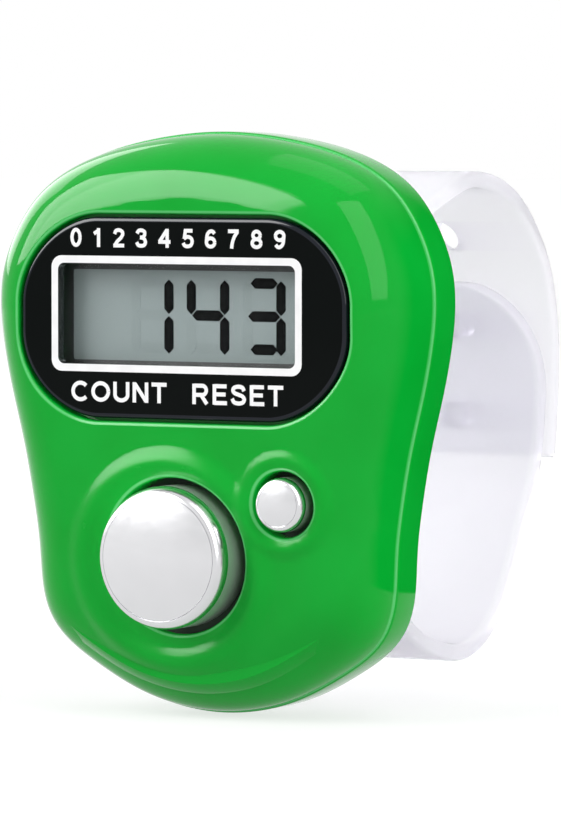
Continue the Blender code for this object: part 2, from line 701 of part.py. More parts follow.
def make_front_case():
    """The domed green shell with its side wall, recess, window, button holes and bosses."""
    outline = case_outline()
    count_hole = circle(COUNT_X, COUNT_Z, COUNT_RADIUS + COUNT_GAP, ROUND_STEPS)
    reset_hole = circle(RESET_X, RESET_Z, RESET_RADIUS + RESET_GAP, SMALL_ROUND_STEPS)
    recess = lens_outline(LENS_GAP)
    window = window_outline()
    bm = bmesh.new()

    def outer_depth(x, z):
        return -outer_rise(outline, x, z)

    def inner_depth(x, z):
        return -inner_rise(outline, x, z)

    candidates = []
    for ring in range(1, DOME_RINGS + 1):
        turn = math.pi / 2 * ring / DOME_RINGS
        candidates += inset_outline(outline, DOME_EDGE * (1 - math.cos(turn)))[:: 1 if ring < 3 else 2]
    collar_steps = (-0.6, -0.3, 0.0, 0.4, 0.8)
    for share in collar_steps:
        candidates += circle(COUNT_X, COUNT_Z, COLLAR_RADIUS + share * COLLAR_SPREAD, ROUND_STEPS)
    candidates += circle(RESET_X, RESET_Z, RESET_RING_RADIUS, SMALL_ROUND_STEPS)
    candidates += circle(RESET_X, RESET_Z, RESET_RING_RADIUS + RESET_RING_SPREAD, SMALL_ROUND_STEPS)
    candidates += grid_points(DOME_GRID)
    holes = [recess, count_hole, reset_hole]
    outer_points = spread_points(candidates, outline, holes, POINT_SPACING)

    crease = level_ring(bm, outline, 0.0)
    hole_rings = [ring_of_verts(bm, loop, outer_depth) for loop in holes]
    fill_between(bm, crease, hole_rings, outer_points, outer_depth)

    rim = level_ring(bm, outline, SIDE_WALL)
    inner_outline = inset_outline(outline, CASE_WALL)
    inner_rim = level_ring(bm, inner_outline, SIDE_WALL)
    inner_crease = level_ring(bm, inner_outline, 0.0)
    bridge(bm, crease, rim)
    bridge(bm, rim, inner_rim)
    bridge(bm, inner_rim, inner_crease)

    inner_candidates = circle(COUNT_X, COUNT_Z, COUNT_FLANGE_RADIUS + RUNNING_GAP, ROUND_STEPS // 2)
    inner_candidates += circle(RESET_X, RESET_Z, RESET_FLANGE_RADIUS + RUNNING_GAP, ROUND_STEPS // 2)
    for ring in range(1, DOME_RINGS + 1):
        turn = math.pi / 2 * ring / DOME_RINGS
        inset = CASE_WALL + (DOME_EDGE - CASE_WALL) * (1 - math.cos(turn))
        inner_candidates += inset_outline(outline, inset)[::2]
    inner_candidates += grid_points(DOME_GRID * 2)
    inner_holes = [window, count_hole, reset_hole]
    inner_points = spread_points(inner_candidates, inner_outline, inner_holes, POINT_SPACING)
    ceiling_rings = [ring_of_verts(bm, loop, inner_depth) for loop in inner_holes]
    fill_between(bm, inner_crease, ceiling_rings, inner_points, inner_depth)

    ledge = level_ring(bm, recess, LENS_LEDGE_DEPTH)
    ledge_window = level_ring(bm, window, LENS_LEDGE_DEPTH)
    bridge(bm, hole_rings[0], ledge)
    fill_between(bm, ledge, [ledge_window])
    bridge(bm, ledge_window, ceiling_rings[0])
    bridge(bm, hole_rings[1], ceiling_rings[1])
    bridge(bm, hole_rings[2], ceiling_rings[2])
    case = add_object("front_case", bm, "green plastic")

    bosses = bmesh.new()
    pilots = bmesh.new()
    buried = -CEILING_RISE - SHAPE_OVERLAP
    for x, z in CASE_SCREW_PLACES:
        prism_into(bosses, circle(x, z, BOSS_RADIUS, TINY_ROUND_STEPS), buried, BOSS_END_DEPTH)
        pilot_end = BACK_DEPTH - CASE_SCREW_LENGTH - SCREW_GAP * 4
        pilot = circle(x, z, CASE_SCREW_RADIUS + SCREW_GAP, TINY_ROUND_STEPS)
        prism_into(pilots, pilot, pilot_end, BOSS_END_DEPTH + CUT_BEYOND)
    for x, z in BOARD_SCREW_PLACES:
        boss_end = BOARD_FRONT_DEPTH - RUNNING_GAP
        prism_into(bosses, circle(x, z, BOARD_BOSS_RADIUS, TINY_ROUND_STEPS), buried, boss_end)
        pilot_end = BOARD_BACK_DEPTH - BOARD_SCREW_LENGTH - SCREW_GAP * 2
        pilot = circle(x, z, BOARD_SCREW_RADIUS + SCREW_GAP, TINY_ROUND_STEPS)
        prism_into(pilots, pilot, pilot_end, boss_end + CUT_BEYOND)
    change_shape(case, add_object("front_boss_shapes", bosses), "UNION")
    change_shape(case, add_object("front_pilot_shapes", pilots), "DIFFERENCE")
    pocket_width = BEZEL_WIDTH + 2 * BEZEL_POCKET_GAP
    pocket_height = BEZEL_HEIGHT + 2 * BEZEL_POCKET_GAP
    pocket_loop = box_loop(DISPLAY_X, DISPLAY_Z, pocket_width, pocket_height)
    pocket_front = -CEILING_RISE + RUNNING_GAP / 2
    pockets = (
        ("front_bezel_pocket", pocket_loop),
        ("front_count_pocket", circle(COUNT_X, COUNT_Z, COUNT_FLANGE_RADIUS + RUNNING_GAP, ROUND_STEPS)),
        ("front_reset_pocket", circle(RESET_X, RESET_Z, RESET_FLANGE_RADIUS + RUNNING_GAP, ROUND_STEPS)),
    )
    for name, loop in pockets:
        change_shape(case, prism(name, loop, pocket_front, BEZEL_BACK_DEPTH), "DIFFERENCE")


def rounded_taper(first_inset, last_inset, first_depth, last_depth):
    """Inset and depth pairs down a wall that leans in and rounds over into the back."""
    shares = ((0.0, 0.0), (0.20, 0.38), (0.52, 0.74), (0.78, 0.92), (1.0, 1.0))
    inset_span = last_inset - first_inset
    depth_span = last_depth - first_depth
    return [(first_inset + inset_span * across, first_depth + depth_span * down) for across, down in shares]


def make_back_case():
    """The tapered back shell with its lip, screw posts, battery well, cover seat and strap lugs."""
    outline = case_outline()
    shoulder = SIDE_WALL + RUNNING_GAP
    lip_inset = CASE_WALL + RUNNING_GAP
    inner_step = lip_inset + LIP_WALL
    outer = rounded_taper(BACK_STEP, BACK_TAPER, shoulder, BACK_DEPTH)
    inner = rounded_taper(inner_step, BACK_TAPER + BACK_INNER_MARGIN, shoulder, BACK_FLOOR_DEPTH)
    lip = [(inner_step, shoulder - LIP_HEIGHT), (lip_inset, shoulder - LIP_HEIGHT), (lip_inset, shoulder)]
    stations = outer[::-1] + lip[::-1] + inner
    bm = bmesh.new()
    rings = [level_ring(bm, inset_outline(outline, inset), depth) for inset, depth in stations]
    for first, second in zip(rings, rings[1:]):
        bridge(bm, first, second)
    bm.faces.new(rings[0])
    bm.faces.new(rings[-1][::-1])
    case = add_object("back_case", bm, "green plastic")

    added = bmesh.new()
    for x, z in CASE_SCREW_PLACES:
        post = circle(x, z, POST_RADIUS, TINY_ROUND_STEPS)
        prism_into(added, post, SIDE_WALL, BACK_FLOOR_DEPTH + SHAPE_OVERLAP)
    well_outer = WELL_RADIUS + WELL_WALL
    well_root = BACK_FLOOR_DEPTH + SHAPE_OVERLAP / 2
    tube_into(added, 0.0, 0.0, WELL_RADIUS, well_outer, WELL_FRONT_DEPTH, well_root, ROUND_STEPS)
    for side in (-1, 1):
        for end in (-1, 1):
            lug_into(added, side, end)
    change_shape(case, add_object("back_added_shapes", added), "UNION")

    cuts = bmesh.new()
    for x, z in CASE_SCREW_PLACES:
        head_seat = BACK_DEPTH - CASE_SCREW_HEAD - SCREW_GAP * 2
        screw_hole_into(cuts, x, z, SIDE_WALL - CUT_BEYOND, head_seat)
    cover_hole_into(cuts)
    change_shape(case, add_object("back_cut_shapes", cuts), "DIFFERENCE")
    pin_cuts = bmesh.new()
    for end in (-1, 1):
        cross_pin_into(pin_cuts, end, PIN_RADIUS + PIN_GAP, LUG_INNER_X + LUG_WIDTH + CUT_BEYOND)
    change_shape(case, add_object("back_pin_cuts", pin_cuts), "DIFFERENCE")


def screw_hole_into(bm, x, z, front_depth, head_seat):
    """A stepped cutter for a screw and its head."""
    hole = CASE_SCREW_RADIUS + SCREW_GAP
    head = CASE_SCREW_HEAD_RADIUS + SCREW_GAP
    beyond = BACK_DEPTH + CUT_BEYOND
    profile = (
        (0.0, front_depth),
        (hole, front_depth),
        (hole, head_seat),
        (head, head_seat),
        (head, beyond),
        (0.0, beyond),
    )
    turned_into(bm, profile, x, z, TINY_ROUND_STEPS)


def cover_hole_into(bm):
    """A cutter for the cover's seat, its hole and the two notches that let its tabs in."""
    steps = ROUND_STEPS * 2
    notched = []
    for x, z in circle(0.0, 0.0, 1.0, steps):
        turn = math.atan2(z, x)
        away = min(abs(math.remainder(turn - COVER_TURN, math.pi)), math.pi)
        radius = NOTCH_RADIUS if away <= COVER_NOTCH_HALF_ANGLE else COVER_HOLE_RADIUS
        notched.append((x * radius, z * radius))
    seat = circle(0.0, 0.0, COVER_RADIUS + RUNNING_GAP, steps)
    front = level_ring(bm, notched, BACK_FLOOR_DEPTH - SHAPE_OVERLAP)
    ledge_inner = level_ring(bm, notched, COVER_LEDGE_DEPTH)
    ledge_outer = level_ring(bm, seat, COVER_LEDGE_DEPTH)
    back = level_ring(bm, seat, BACK_DEPTH + CUT_BEYOND)
    bm.faces.new(front)
    bridge(bm, front, ledge_inner)
    bridge(bm, ledge_inner, ledge_outer)
    bridge(bm, ledge_outer, back)
    bm.faces.new(back[::-1])


def lug_into(bm, side, end):
    """One strap lug: a plate on the back face with a round end about the pin."""
    inner_x = side * LUG_INNER_X
    outer_x = side * (LUG_INNER_X + LUG_WIDTH)
    root = BACK_DEPTH - SHAPE_OVERLAP
    profile = [(root, -LUG_RADIUS), (root, LUG_RADIUS)]
    for step in range(9):
        turn = math.pi / 2 - math.pi * step / 8
        profile.append((PIN_DEPTH + LUG_RADIUS * math.cos(turn), LUG_RADIUS * math.sin(turn)))
    rings = []
    for x in (inner_x, outer_x):
        rings.append([bm.verts.new((x, y_at(depth), end * PIN_Z + height)) for depth, height in profile])
    bridge(bm, *rings)
    bm.faces.new(rings[0][::-1])
    bm.faces.new(rings[1])


def cross_pin_into(bm, end, radius, half_length):
    """A round bar along X through a pair of lugs."""
    rings = []
    for x in (-half_length, half_length):
        ring = []
        for index in range(TINY_ROUND_STEPS):
            turn = 2 * math.pi * index / TINY_ROUND_STEPS
            place = (x, y_at(PIN_DEPTH + radius * math.cos(turn)), end * PIN_Z + radius * math.sin(turn))
            ring.append(bm.verts.new(place))
        rings.append(ring)
    bridge(bm, *rings)
    bm.faces.new(rings[0][::-1])
    bm.faces.new(rings[1])


def make_lens():
    """The flat display lens."""
    prism("display_lens", lens_outline(0.0), LENS_FRONT_DEPTH, LENS_BACK_DEPTH, "black lens")


def make_count_button():
    """The large round button: a thin cap with a flange behind the case and a centre post."""
    inner = COUNT_RADIUS - COUNT_SHELL
    ceiling = COUNT_FACE_DEPTH + COUNT_FACE_THICKNESS
    profile = (
        (0.0, COUNT_FACE_DEPTH),
        (COUNT_RADIUS - BUTTON_EDGE, COUNT_FACE_DEPTH),
        (COUNT_RADIUS - BUTTON_EDGE * 0.3, COUNT_FACE_DEPTH + BUTTON_EDGE * 0.3),
        (COUNT_RADIUS, COUNT_FACE_DEPTH + BUTTON_EDGE),
        (COUNT_RADIUS, FLANGE_FRONT_DEPTH),
        (COUNT_FLANGE_RADIUS, FLANGE_FRONT_DEPTH),
        (COUNT_FLANGE_RADIUS, FLANGE_BACK_DEPTH),
        (inner, FLANGE_BACK_DEPTH),
        (inner, ceiling),
        (COUNT_POST_RADIUS, ceiling),
        (COUNT_POST_RADIUS, count_plunger_front() - RUNNING_GAP),
        (0.0, count_plunger_front() - RUNNING_GAP),
    )
    turned("count_button", profile, COUNT_X, COUNT_Z, ROUND_STEPS, "chrome")


def make_reset_button():
    """The small round button with a flange behind the case and a short stem."""
    stem_end = reset_plunger_front() - RUNNING_GAP
    profile = (
        (0.0, RESET_FACE_DEPTH),
        (RESET_RADIUS - BUTTON_EDGE, RESET_FACE_DEPTH),
        (RESET_RADIUS - BUTTON_EDGE * 0.3, RESET_FACE_DEPTH + BUTTON_EDGE * 0.3),
        (RESET_RADIUS, RESET_FACE_DEPTH + BUTTON_EDGE),
        (RESET_RADIUS, FLANGE_FRONT_DEPTH),
        (RESET_FLANGE_RADIUS, FLANGE_FRONT_DEPTH),
        (RESET_FLANGE_RADIUS, FLANGE_BACK_DEPTH),
        (RESET_STEM_RADIUS, FLANGE_BACK_DEPTH),
        (RESET_STEM_RADIUS, stem_end),
        (0.0, stem_end),
    )
    turned("reset_button", profile, RESET_X, RESET_Z, SMALL_ROUND_STEPS, "chrome")


def switch_top(height):
    """Depth of the top of a switch body on the board."""
    return BOARD_FRONT_DEPTH - SEAT_GAP - height


def count_plunger_front():
    """Depth of the free end of the count switch's plunger."""
    return switch_top(COUNT_SWITCH_HEIGHT) - SWITCH_COVER - COUNT_PLUNGER_RISE


def reset_plunger_front():
    """Depth of the free end of the reset switch's plunger."""
    return switch_top(RESET_SWITCH_HEIGHT) - SWITCH_COVER - RESET_PLUNGER_RISE


def make_switch(stem, x, z, size, height, plunger_radius, plunger_front):
    """A push switch on the board: a body with a bore, a cover plate and a plunger."""
    top = switch_top(height)
    bottom = BOARD_FRONT_DEPTH - SEAT_GAP
    bore = plunger_radius + RUNNING_GAP
    body = prism(stem + "_body", chamfered_loop(x, z, size, SWITCH_CORNER), top, bottom, "black plastic")
    bore_floor = bottom - SWITCH_BORE_FLOOR
    cutter = prism(stem + "_bore_cut", circle(x, z, bore, SMALL_ROUND_STEPS), top - CUT_BEYOND, bore_floor)
    change_shape(body, cutter, "DIFFERENCE")

    bm = bmesh.new()
    hole = circle(x, z, bore, SMALL_ROUND_STEPS)
    plate = chamfered_loop(x, z, size - 2 * SWITCH_COVER_INSET, SWITCH_CORNER)
    cover_back = top - SEAT_GAP
    cover_front = cover_back - SWITCH_COVER
    faces = []
    for depth in (cover_front, cover_back):
        outer_ring = level_ring(bm, plate, depth)
        hole_ring = level_ring(bm, hole, depth)
        fill_between(bm, outer_ring, [hole_ring])
        faces.append((outer_ring, hole_ring))
    bridge(bm, faces[0][0], faces[1][0])
    bridge(bm, faces[0][1], faces[1][1])
    add_object(stem + "_cover", bm, "steel")

    plunger_back = bore_floor - RUNNING_GAP - BUTTON_TRAVEL
    profile = (
        (0.0, plunger_front),
        (plunger_radius - PLUNGER_EDGE, plunger_front),
        (plunger_radius, plunger_front + PLUNGER_EDGE),
        (plunger_radius, plunger_back),
        (0.0, plunger_back),
    )
    turned(stem + "_plunger", profile, x, z, SMALL_ROUND_STEPS, "black plastic")


def make_board():
    """The circuit board, cut for the screw bosses, and the parts on its back."""
    outline = inset_outline(case_outline(), CASE_WALL + BOARD_EDGE_GAP)
    bm = bmesh.new()
    holes = [circle(x, z, BOSS_RADIUS + SCREW_GAP * 2, TINY_ROUND_STEPS) for x, z in CASE_SCREW_PLACES]
    holes += [circle(x, z, BOARD_SCREW_RADIUS + SCREW_GAP, TINY_ROUND_STEPS) for x, z in BOARD_SCREW_PLACES]
    sides = []
    for depth in (BOARD_FRONT_DEPTH, BOARD_BACK_DEPTH):
        outer_ring = level_ring(bm, outline, depth)
        hole_rings = [level_ring(bm, hole, depth) for hole in holes]
        fill_between(bm, outer_ring, hole_rings)
        sides.append([outer_ring, *hole_rings])
    for front_ring, back_ring in zip(*sides):
        bridge(bm, front_ring, back_ring)
    add_object("circuit_board", bm, "board")

    seat = BOARD_BACK_DEPTH + SEAT_GAP
    blob = [(0.0, seat), (CHIP_RADIUS, seat)]
    for step in range(1, 5):
        turn = math.pi / 2 * step / 5
        blob.append((CHIP_RADIUS * math.cos(turn), seat + CHIP_RISE * math.sin(turn)))
    blob.append((0.0, seat + CHIP_RISE))
    turned("chip_blob", blob, CHIP_X, CHIP_Z, SMALL_ROUND_STEPS, "black plastic")
    for name, side, size, finish in (
        ("capacitor", 1, CAPACITOR_SIZE, "ceramic"),
        ("resistor", -1, RESISTOR_SIZE, "black plastic"),
    ):
        loop = box_loop(side * SMALL_PART_X, CHIP_Z, size[0], size[2])
        prism(name, loop, seat, seat + size[1], finish)


def make_display():
    """The two display glasses, the reflector, the frame round them and the rubber connector."""
    rear_front = FRONT_GLASS_DEPTH + GLASS_THICKNESS + SEAT_GAP
    rear_back = rear_front + GLASS_THICKNESS
    full = box_loop(DISPLAY_X, DISPLAY_Z, GLASS_WIDTH, GLASS_HEIGHT)
    prism("lcd_front_glass", full, FRONT_GLASS_DEPTH, FRONT_GLASS_DEPTH + GLASS_THICKNESS, "glass")
    prism("lcd_rear_glass", full, rear_front, rear_back, "glass")
    reflector_front = rear_back + SEAT_GAP
    reflector_height = GLASS_HEIGHT - 2 * REAR_GLASS_STEP - ZEBRA_HEIGHT
    reflector_z = DISPLAY_Z + ZEBRA_HEIGHT / 2
    reflector_width = GLASS_WIDTH - 2 * REAR_GLASS_STEP
    reflector = box_loop(DISPLAY_X, reflector_z, reflector_width, reflector_height)
    prism("lcd_reflector", reflector, reflector_front, reflector_front + REFLECTOR_THICKNESS, "reflector")

    inner_width = GLASS_WIDTH + 2 * RUNNING_GAP
    inner_height = GLASS_HEIGHT + 2 * RUNNING_GAP
    ledge_front = rear_back + RUNNING_GAP
    outside = box_loop(DISPLAY_X, DISPLAY_Z, BEZEL_WIDTH, BEZEL_HEIGHT)
    bezel = prism("lcd_bezel", outside, BEZEL_FRONT_DEPTH, BEZEL_BACK_DEPTH, "black plastic")
    glass_space = box_loop(DISPLAY_X, DISPLAY_Z, inner_width, inner_height)
    pocket = prism("bezel_glass_cut", glass_space, BEZEL_FRONT_DEPTH - CUT_BEYOND, ledge_front)
    lower_z = DISPLAY_Z - BEZEL_LEDGE / 2
    lower = box_loop(DISPLAY_X, lower_z, inner_width - 2 * BEZEL_LEDGE, inner_height - BEZEL_LEDGE)
    through_back = BEZEL_BACK_DEPTH + CUT_BEYOND
    through = prism("bezel_through_cut", lower, ledge_front - SHAPE_OVERLAP, through_back)
    change_shape(bezel, pocket, "DIFFERENCE")
    change_shape(bezel, through, "DIFFERENCE")

    zebra_z = DISPLAY_Z - GLASS_HEIGHT / 2 + ZEBRA_HEIGHT / 2
    zebra_loop = box_loop(DISPLAY_X, zebra_z, GLASS_WIDTH - 2 * ZEBRA_SIDE_MARGIN, ZEBRA_HEIGHT)
    prism("zebra_strip", zebra_loop, ledge_front, BEZEL_BACK_DEPTH, "rubber")


def make_battery():
    """The button cell in two pieces and the two sprung contacts on the board."""
    can_front = CELL_FRONT_DEPTH + CELL_CAP_THICKNESS
    can = (
        (0.0, can_front),
        (CELL_RADIUS - CELL_EDGE, can_front),
        (CELL_RADIUS, can_front + CELL_EDGE),
        (CELL_RADIUS, CELL_BACK_DEPTH - CELL_EDGE),
        (CELL_RADIUS - CELL_EDGE, CELL_BACK_DEPTH),
        (0.0, CELL_BACK_DEPTH),
    )
    turned("battery_can", can, 0.0, 0.0, ROUND_STEPS, "steel")
    cap_radius = CELL_RADIUS - CELL_CAP_STEP
    cap = (
        (0.0, CELL_FRONT_DEPTH),
        (cap_radius - CELL_EDGE / 2, CELL_FRONT_DEPTH),
        (cap_radius, CELL_FRONT_DEPTH + CELL_EDGE),
        (cap_radius, can_front - SEAT_GAP),
        (0.0, can_front - SEAT_GAP),
    )
    turned("battery_cap", cap, 0.0, 0.0, ROUND_STEPS, "steel")

    board = BOARD_BACK_DEPTH + SEAT_GAP
    contact_back = board + CONTACT_THICKNESS
    leaf = circle(0.0, 0.0, NEGATIVE_LEAF_RADIUS, SMALL_ROUND_STEPS)
    negative = prism("contact_negative", leaf, board, contact_back, "brass")
    arm_loop = box_loop(-NEGATIVE_ARM_LENGTH / 2, 0.0, NEGATIVE_ARM_LENGTH, NEGATIVE_ARM_WIDTH)
    arm = prism("negative_arm_shape", arm_loop, board, contact_back)
    change_shape(negative, arm, "UNION")

    inner = CELL_RADIUS + RUNNING_GAP * 2
    outer = inner + CONTACT_THICKNESS
    turns = [POSITIVE_HALF_ANGLE * (step / 4 - 1) for step in range(9)]
    wall = [arc_point(inner, turn) for turn in turns]
    wall += [arc_point(outer, turn) for turn in reversed(turns)]
    positive = prism("contact_positive", wall, board, CELL_BACK_DEPTH - CELL_EDGE, "brass")
    foot_loop = [arc_point(inner - POSITIVE_FOOT, turn) for turn in turns[2:7:2]]
    foot_loop += [arc_point((inner + outer) / 2, turn) for turn in turns[6:1:-2]]
    foot = prism("positive_foot_shape", foot_loop, board, contact_back)
    change_shape(positive, foot, "UNION")


def arc_point(radius, turn):
    """A point of an arc about the battery's axis, from the +X side."""
    return (radius * math.cos(turn), radius * math.sin(turn))


def make_battery_cover():
    """The round twist-lock cover with its coin slot and two tabs, and the flat seal under it."""
    flange_front = COVER_BACK_DEPTH - COVER_FLANGE
    profile = (
        (0.0, COVER_FRONT_DEPTH),
        (COVER_NECK_RADIUS, COVER_FRONT_DEPTH),
        (COVER_NECK_RADIUS, flange_front),
        (COVER_RADIUS, flange_front),
        (COVER_RADIUS, COVER_BACK_DEPTH - COVER_EDGE),
        (COVER_RADIUS - COVER_EDGE, COVER_BACK_DEPTH),
        (0.0, COVER_BACK_DEPTH),
    )
    cover = turned("battery_cover", profile, 0.0, 0.0, ROUND_STEPS, "green plastic")
    tabs = bmesh.new()
    for middle in (0.0, math.pi):
        inner, outer = COVER_NECK_RADIUS - SHAPE_OVERLAP, COVER_NECK_RADIUS + COVER_TAB_REACH
        turns = [middle + COVER_TAB_HALF_ANGLE * share for share in (-1.0, -0.5, 0.0, 0.5, 1.0)]
        loop = [arc_point(inner, turn) for turn in turns]
        loop += [arc_point(outer, turn) for turn in reversed(turns)]
        prism_into(tabs, loop, COVER_FRONT_DEPTH + SEAT_GAP, BACK_FLOOR_DEPTH - RUNNING_GAP)
    change_shape(cover, add_object("cover_tab_shapes", tabs), "UNION")
    length, width, depth = COIN_SLOT
    slot_loop = box_loop(0.0, 0.0, length, width)
    slot = prism("cover_slot_cut", slot_loop, COVER_BACK_DEPTH - depth, BACK_DEPTH + CUT_BEYOND)
    change_shape(cover, slot, "DIFFERENCE")

    seal = bmesh.new()
    seal_front = COVER_LEDGE_DEPTH + SEAT_GAP / 2
    tube_into(
        seal, 0.0, 0.0, COVER_HOLE_RADIUS + SEAT_GAP, COVER_RADIUS - RUNNING_GAP,
        seal_front, seal_front + SEAL_THICKNESS, ROUND_STEPS,
    )
    add_object("battery_cover_seal", seal, "rubber")


def make_screws():
    """Four case screws from the back and two board screws."""
    head_back = BACK_DEPTH - SCREW_GAP
    for number, (x, z) in enumerate(CASE_SCREW_PLACES, 1):
        make_screw(
            f"case_screw_{number}", x, z, head_back, CASE_SCREW_HEAD_RADIUS, CASE_SCREW_HEAD,
            CASE_SCREW_RADIUS, CASE_SCREW_LENGTH,
        )
    head_back = BOARD_BACK_DEPTH + SEAT_GAP + BOARD_SCREW_HEAD
    for number, (x, z) in enumerate(BOARD_SCREW_PLACES, 1):
        make_screw(
            f"board_screw_{number}", x, z, head_back, BOARD_SCREW_HEAD_RADIUS, BOARD_SCREW_HEAD,
            BOARD_SCREW_RADIUS, BOARD_SCREW_LENGTH + BOARD_SCREW_HEAD,
        )


def make_screw(name, x, z, head_back, head_radius, head, radius, length):
    """A round-headed screw with a cross recess, its head to the back."""
    edge = head_radius * SCREW_EDGE
    profile = (
        (0.0, head_back - length),
        (radius * 0.5, head_back - length),
        (radius, head_back - length + radius),
        (radius, head_back - head),
        (head_radius, head_back - head),
        (head_radius, head_back - edge),
        (head_radius - edge, head_back),
        (0.0, head_back),
    )
    screw = turned(name, profile, x, z, TINY_ROUND_STEPS, "steel")
    reach, half = head_radius * SCREW_RECESS_REACH, head_radius * SCREW_RECESS_HALF_WIDTH
    cross = [
        (-half, reach), (half, reach), (half, half), (reach, half), (reach, -half), (half, -half),
        (half, -reach), (-half, -reach), (-half, -half), (-reach, -half), (-reach, half), (-half, half),
    ]
    loop = [(x + across, z + up) for across, up in cross]
    recess = prism(name + "_recess_cut", loop, head_back - SCREW_RECESS_DEPTH, head_back + CUT_BEYOND)
    change_shape(screw, recess, "DIFFERENCE")


def ribbon_into(bm, path, half_width_at):
    """A flat band along a path of depth and height, with its width along X."""
    total = len(path)
    half = STRAP_THICKNESS / 2
    travelled = 0.0
    rings = []
    for index, (depth, height) in enumerate(path):
        ahead = path[min(index + 1, total - 1)]
        behind = path[max(index - 1, 0)]
        run, climb = ahead[0] - behind[0], ahead[1] - behind[1]
        length = math.hypot(run, climb)
        across, up = -climb / length * half, run / length * half
        if index:
            travelled += math.dist(path[index - 1], path[index])
        half_width = half_width_at(travelled)
        corners = ((-1, 1), (1, 1), (1, -1), (-1, -1))
        rings.append([
            bm.verts.new((side * half_width, y_at(depth + face * across), height + face * up))
            for side, face in corners
        ])
    for first, second in zip(rings, rings[1:]):
        bridge(bm, first, second)
    bm.faces.new(rings[0])
    bm.faces.new(rings[-1][::-1])


def tongue_path(upper_path):
    """Three points of the tongue's middle line, a thickness and a gap inside the upper half."""
    offset = STRAP_THICKNESS + SNAP_GAP
    points = []
    for share in (0.0, 0.5, 1.0):
        height = TONGUE_START_Z + (TONGUE_TIP_Z - TONGUE_START_Z) * share
        index = nearest_far_index(upper_path, height)
        (depth, z), (next_depth, next_z) = upper_path[index], upper_path[index + 1]
        length = math.hypot(next_depth - depth, next_z - z)
        points.append((depth + (next_z - z) / length * offset, z - (next_depth - depth) / length * offset))
    return points


def nearest_far_index(path, height):
    """Index of the point nearest a height on the far run of a strap path."""
    far_side = [index for index, point in enumerate(path) if point[0] > UPPER_STRAP_PATH[2][0]]
    return min(far_side, key=lambda index: abs(path[index][1] - height))


def path_length(path):
    """The length of a line of points."""
    return sum(math.dist(start, end) for start, end in zip(path, path[1:]))


def flare(travelled):
    """Half the strap's width at a distance from its pin."""
    share = min(1.0, travelled / STRAP_FLARE)
    ease = share * share * (3 - 2 * share)
    return (STRAP_ROOT_WIDTH + (STRAP_WIDTH - STRAP_ROOT_WIDTH) * ease) / 2


def make_strap():
    """The two soft strap halves: the upper one lies outside and the tongue of the lower one inside."""
    upper_path = smooth_open([(PIN_DEPTH, PIN_Z), *UPPER_STRAP_PATH], STRAP_STEPS)
    lower_points = [(PIN_DEPTH, -PIN_Z), *LOWER_STRAP_PATH, *tongue_path(upper_path)]
    lower_path = smooth_open(lower_points, STRAP_STEPS + 8)
    lower_length = path_length(lower_path)

    def lower_half_width(travelled):
        width = flare(travelled)
        left = lower_length - travelled
        if left < TONGUE_CORNER_LENGTH:
            share = 1.0 - left / TONGUE_CORNER_LENGTH
            width -= TONGUE_CORNER_WIDTH * (1.0 - math.sqrt(max(0.0, 1.0 - share * share)))
        return width

    halves = (("strap_upper", 1, upper_path, flare), ("strap_lower", -1, lower_path, lower_half_width))
    straps = {}
    for name, end, path, half_width_at in halves:
        bm = bmesh.new()
        ribbon_into(bm, path, half_width_at)
        strap = add_object(name, bm, "clear strap")
        eye = bmesh.new()
        cross_pin_into(eye, end, EYE_RADIUS, STRAP_ROOT_WIDTH / 2)
        change_shape(strap, add_object(name + "_eye_shape", eye), "UNION")
        bore = bmesh.new()
        cross_pin_into(bore, end, PIN_RADIUS + PIN_GAP, STRAP_WIDTH)
        change_shape(strap, add_object(name + "_eye_cut", bore), "DIFFERENCE")
        straps[name] = strap

    studs = bmesh.new()
    holes = bmesh.new()
    for side in (-1, 1):
        for number in range(3):
            height = STUD_TOP_Z + STUD_PITCH * (1 - number)
            if number:
                start = lower_path[nearest_far_index(lower_path, height)][0]
                end = upper_path[nearest_far_index(upper_path, height)][0] + STRAP_THICKNESS / 2
                prism_into(studs, circle(side * STUD_X, height, STUD_RADIUS, TINY_ROUND_STEPS), start, end)
            hole = circle(side * STUD_X, height, STUD_RADIUS + STUD_GAP, TINY_ROUND_STEPS)
            middle = upper_path[nearest_far_index(upper_path, height)][0]
            prism_into(holes, hole, middle - STRAP_THICKNESS, middle + 2 * STRAP_THICKNESS)
    change_shape(straps["strap_lower"], add_object("strap_stud_shapes", studs), "UNION")
    change_shape(straps["strap_upper"], add_object("strap_hole_cuts", holes), "DIFFERENCE")

    for name, end in (("strap_pin_upper", 1), ("strap_pin_lower", -1)):
        bm = bmesh.new()
        cross_pin_into(bm, end, PIN_RADIUS, STRAP_ROOT_WIDTH / 2 + PIN_OVERHANG)
        add_object(name, bm, "steel", (0.0, y_at(PIN_DEPTH), end * PIN_Z))


def main():
    """Build every piece of the counter."""
    clear_scene()
    make_front_case()
    make_back_case()
    make_lens()
    make_count_button()
    make_reset_button()
    make_switch(
        "count_switch", COUNT_X, COUNT_Z, COUNT_SWITCH_SIZE, COUNT_SWITCH_HEIGHT,
        COUNT_PLUNGER_RADIUS, count_plunger_front(),
    )
    make_switch(
        "reset_switch", RESET_X, RESET_Z, RESET_SWITCH_SIZE, RESET_SWITCH_HEIGHT,
        RESET_PLUNGER_RADIUS, reset_plunger_front(),
    )
    make_board()
    make_display()
    make_battery()
    make_battery_cover()
    make_screws()
    make_strap()


main()
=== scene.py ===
"""Looks of a finger tally counter: moulded shells, printed lens, display, buttons, strap and studio.

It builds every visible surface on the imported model. All sizes are in metres. A depth is measured
backwards from the crease between the dome and the side wall of the case.
"""
import math

import bmesh
import bpy
import numpy as np
from bpy.props import FloatProperty, FloatVectorProperty, PointerProperty, StringProperty
from bpy.types import Operator, Panel, PropertyGroup
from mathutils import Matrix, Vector, geometry


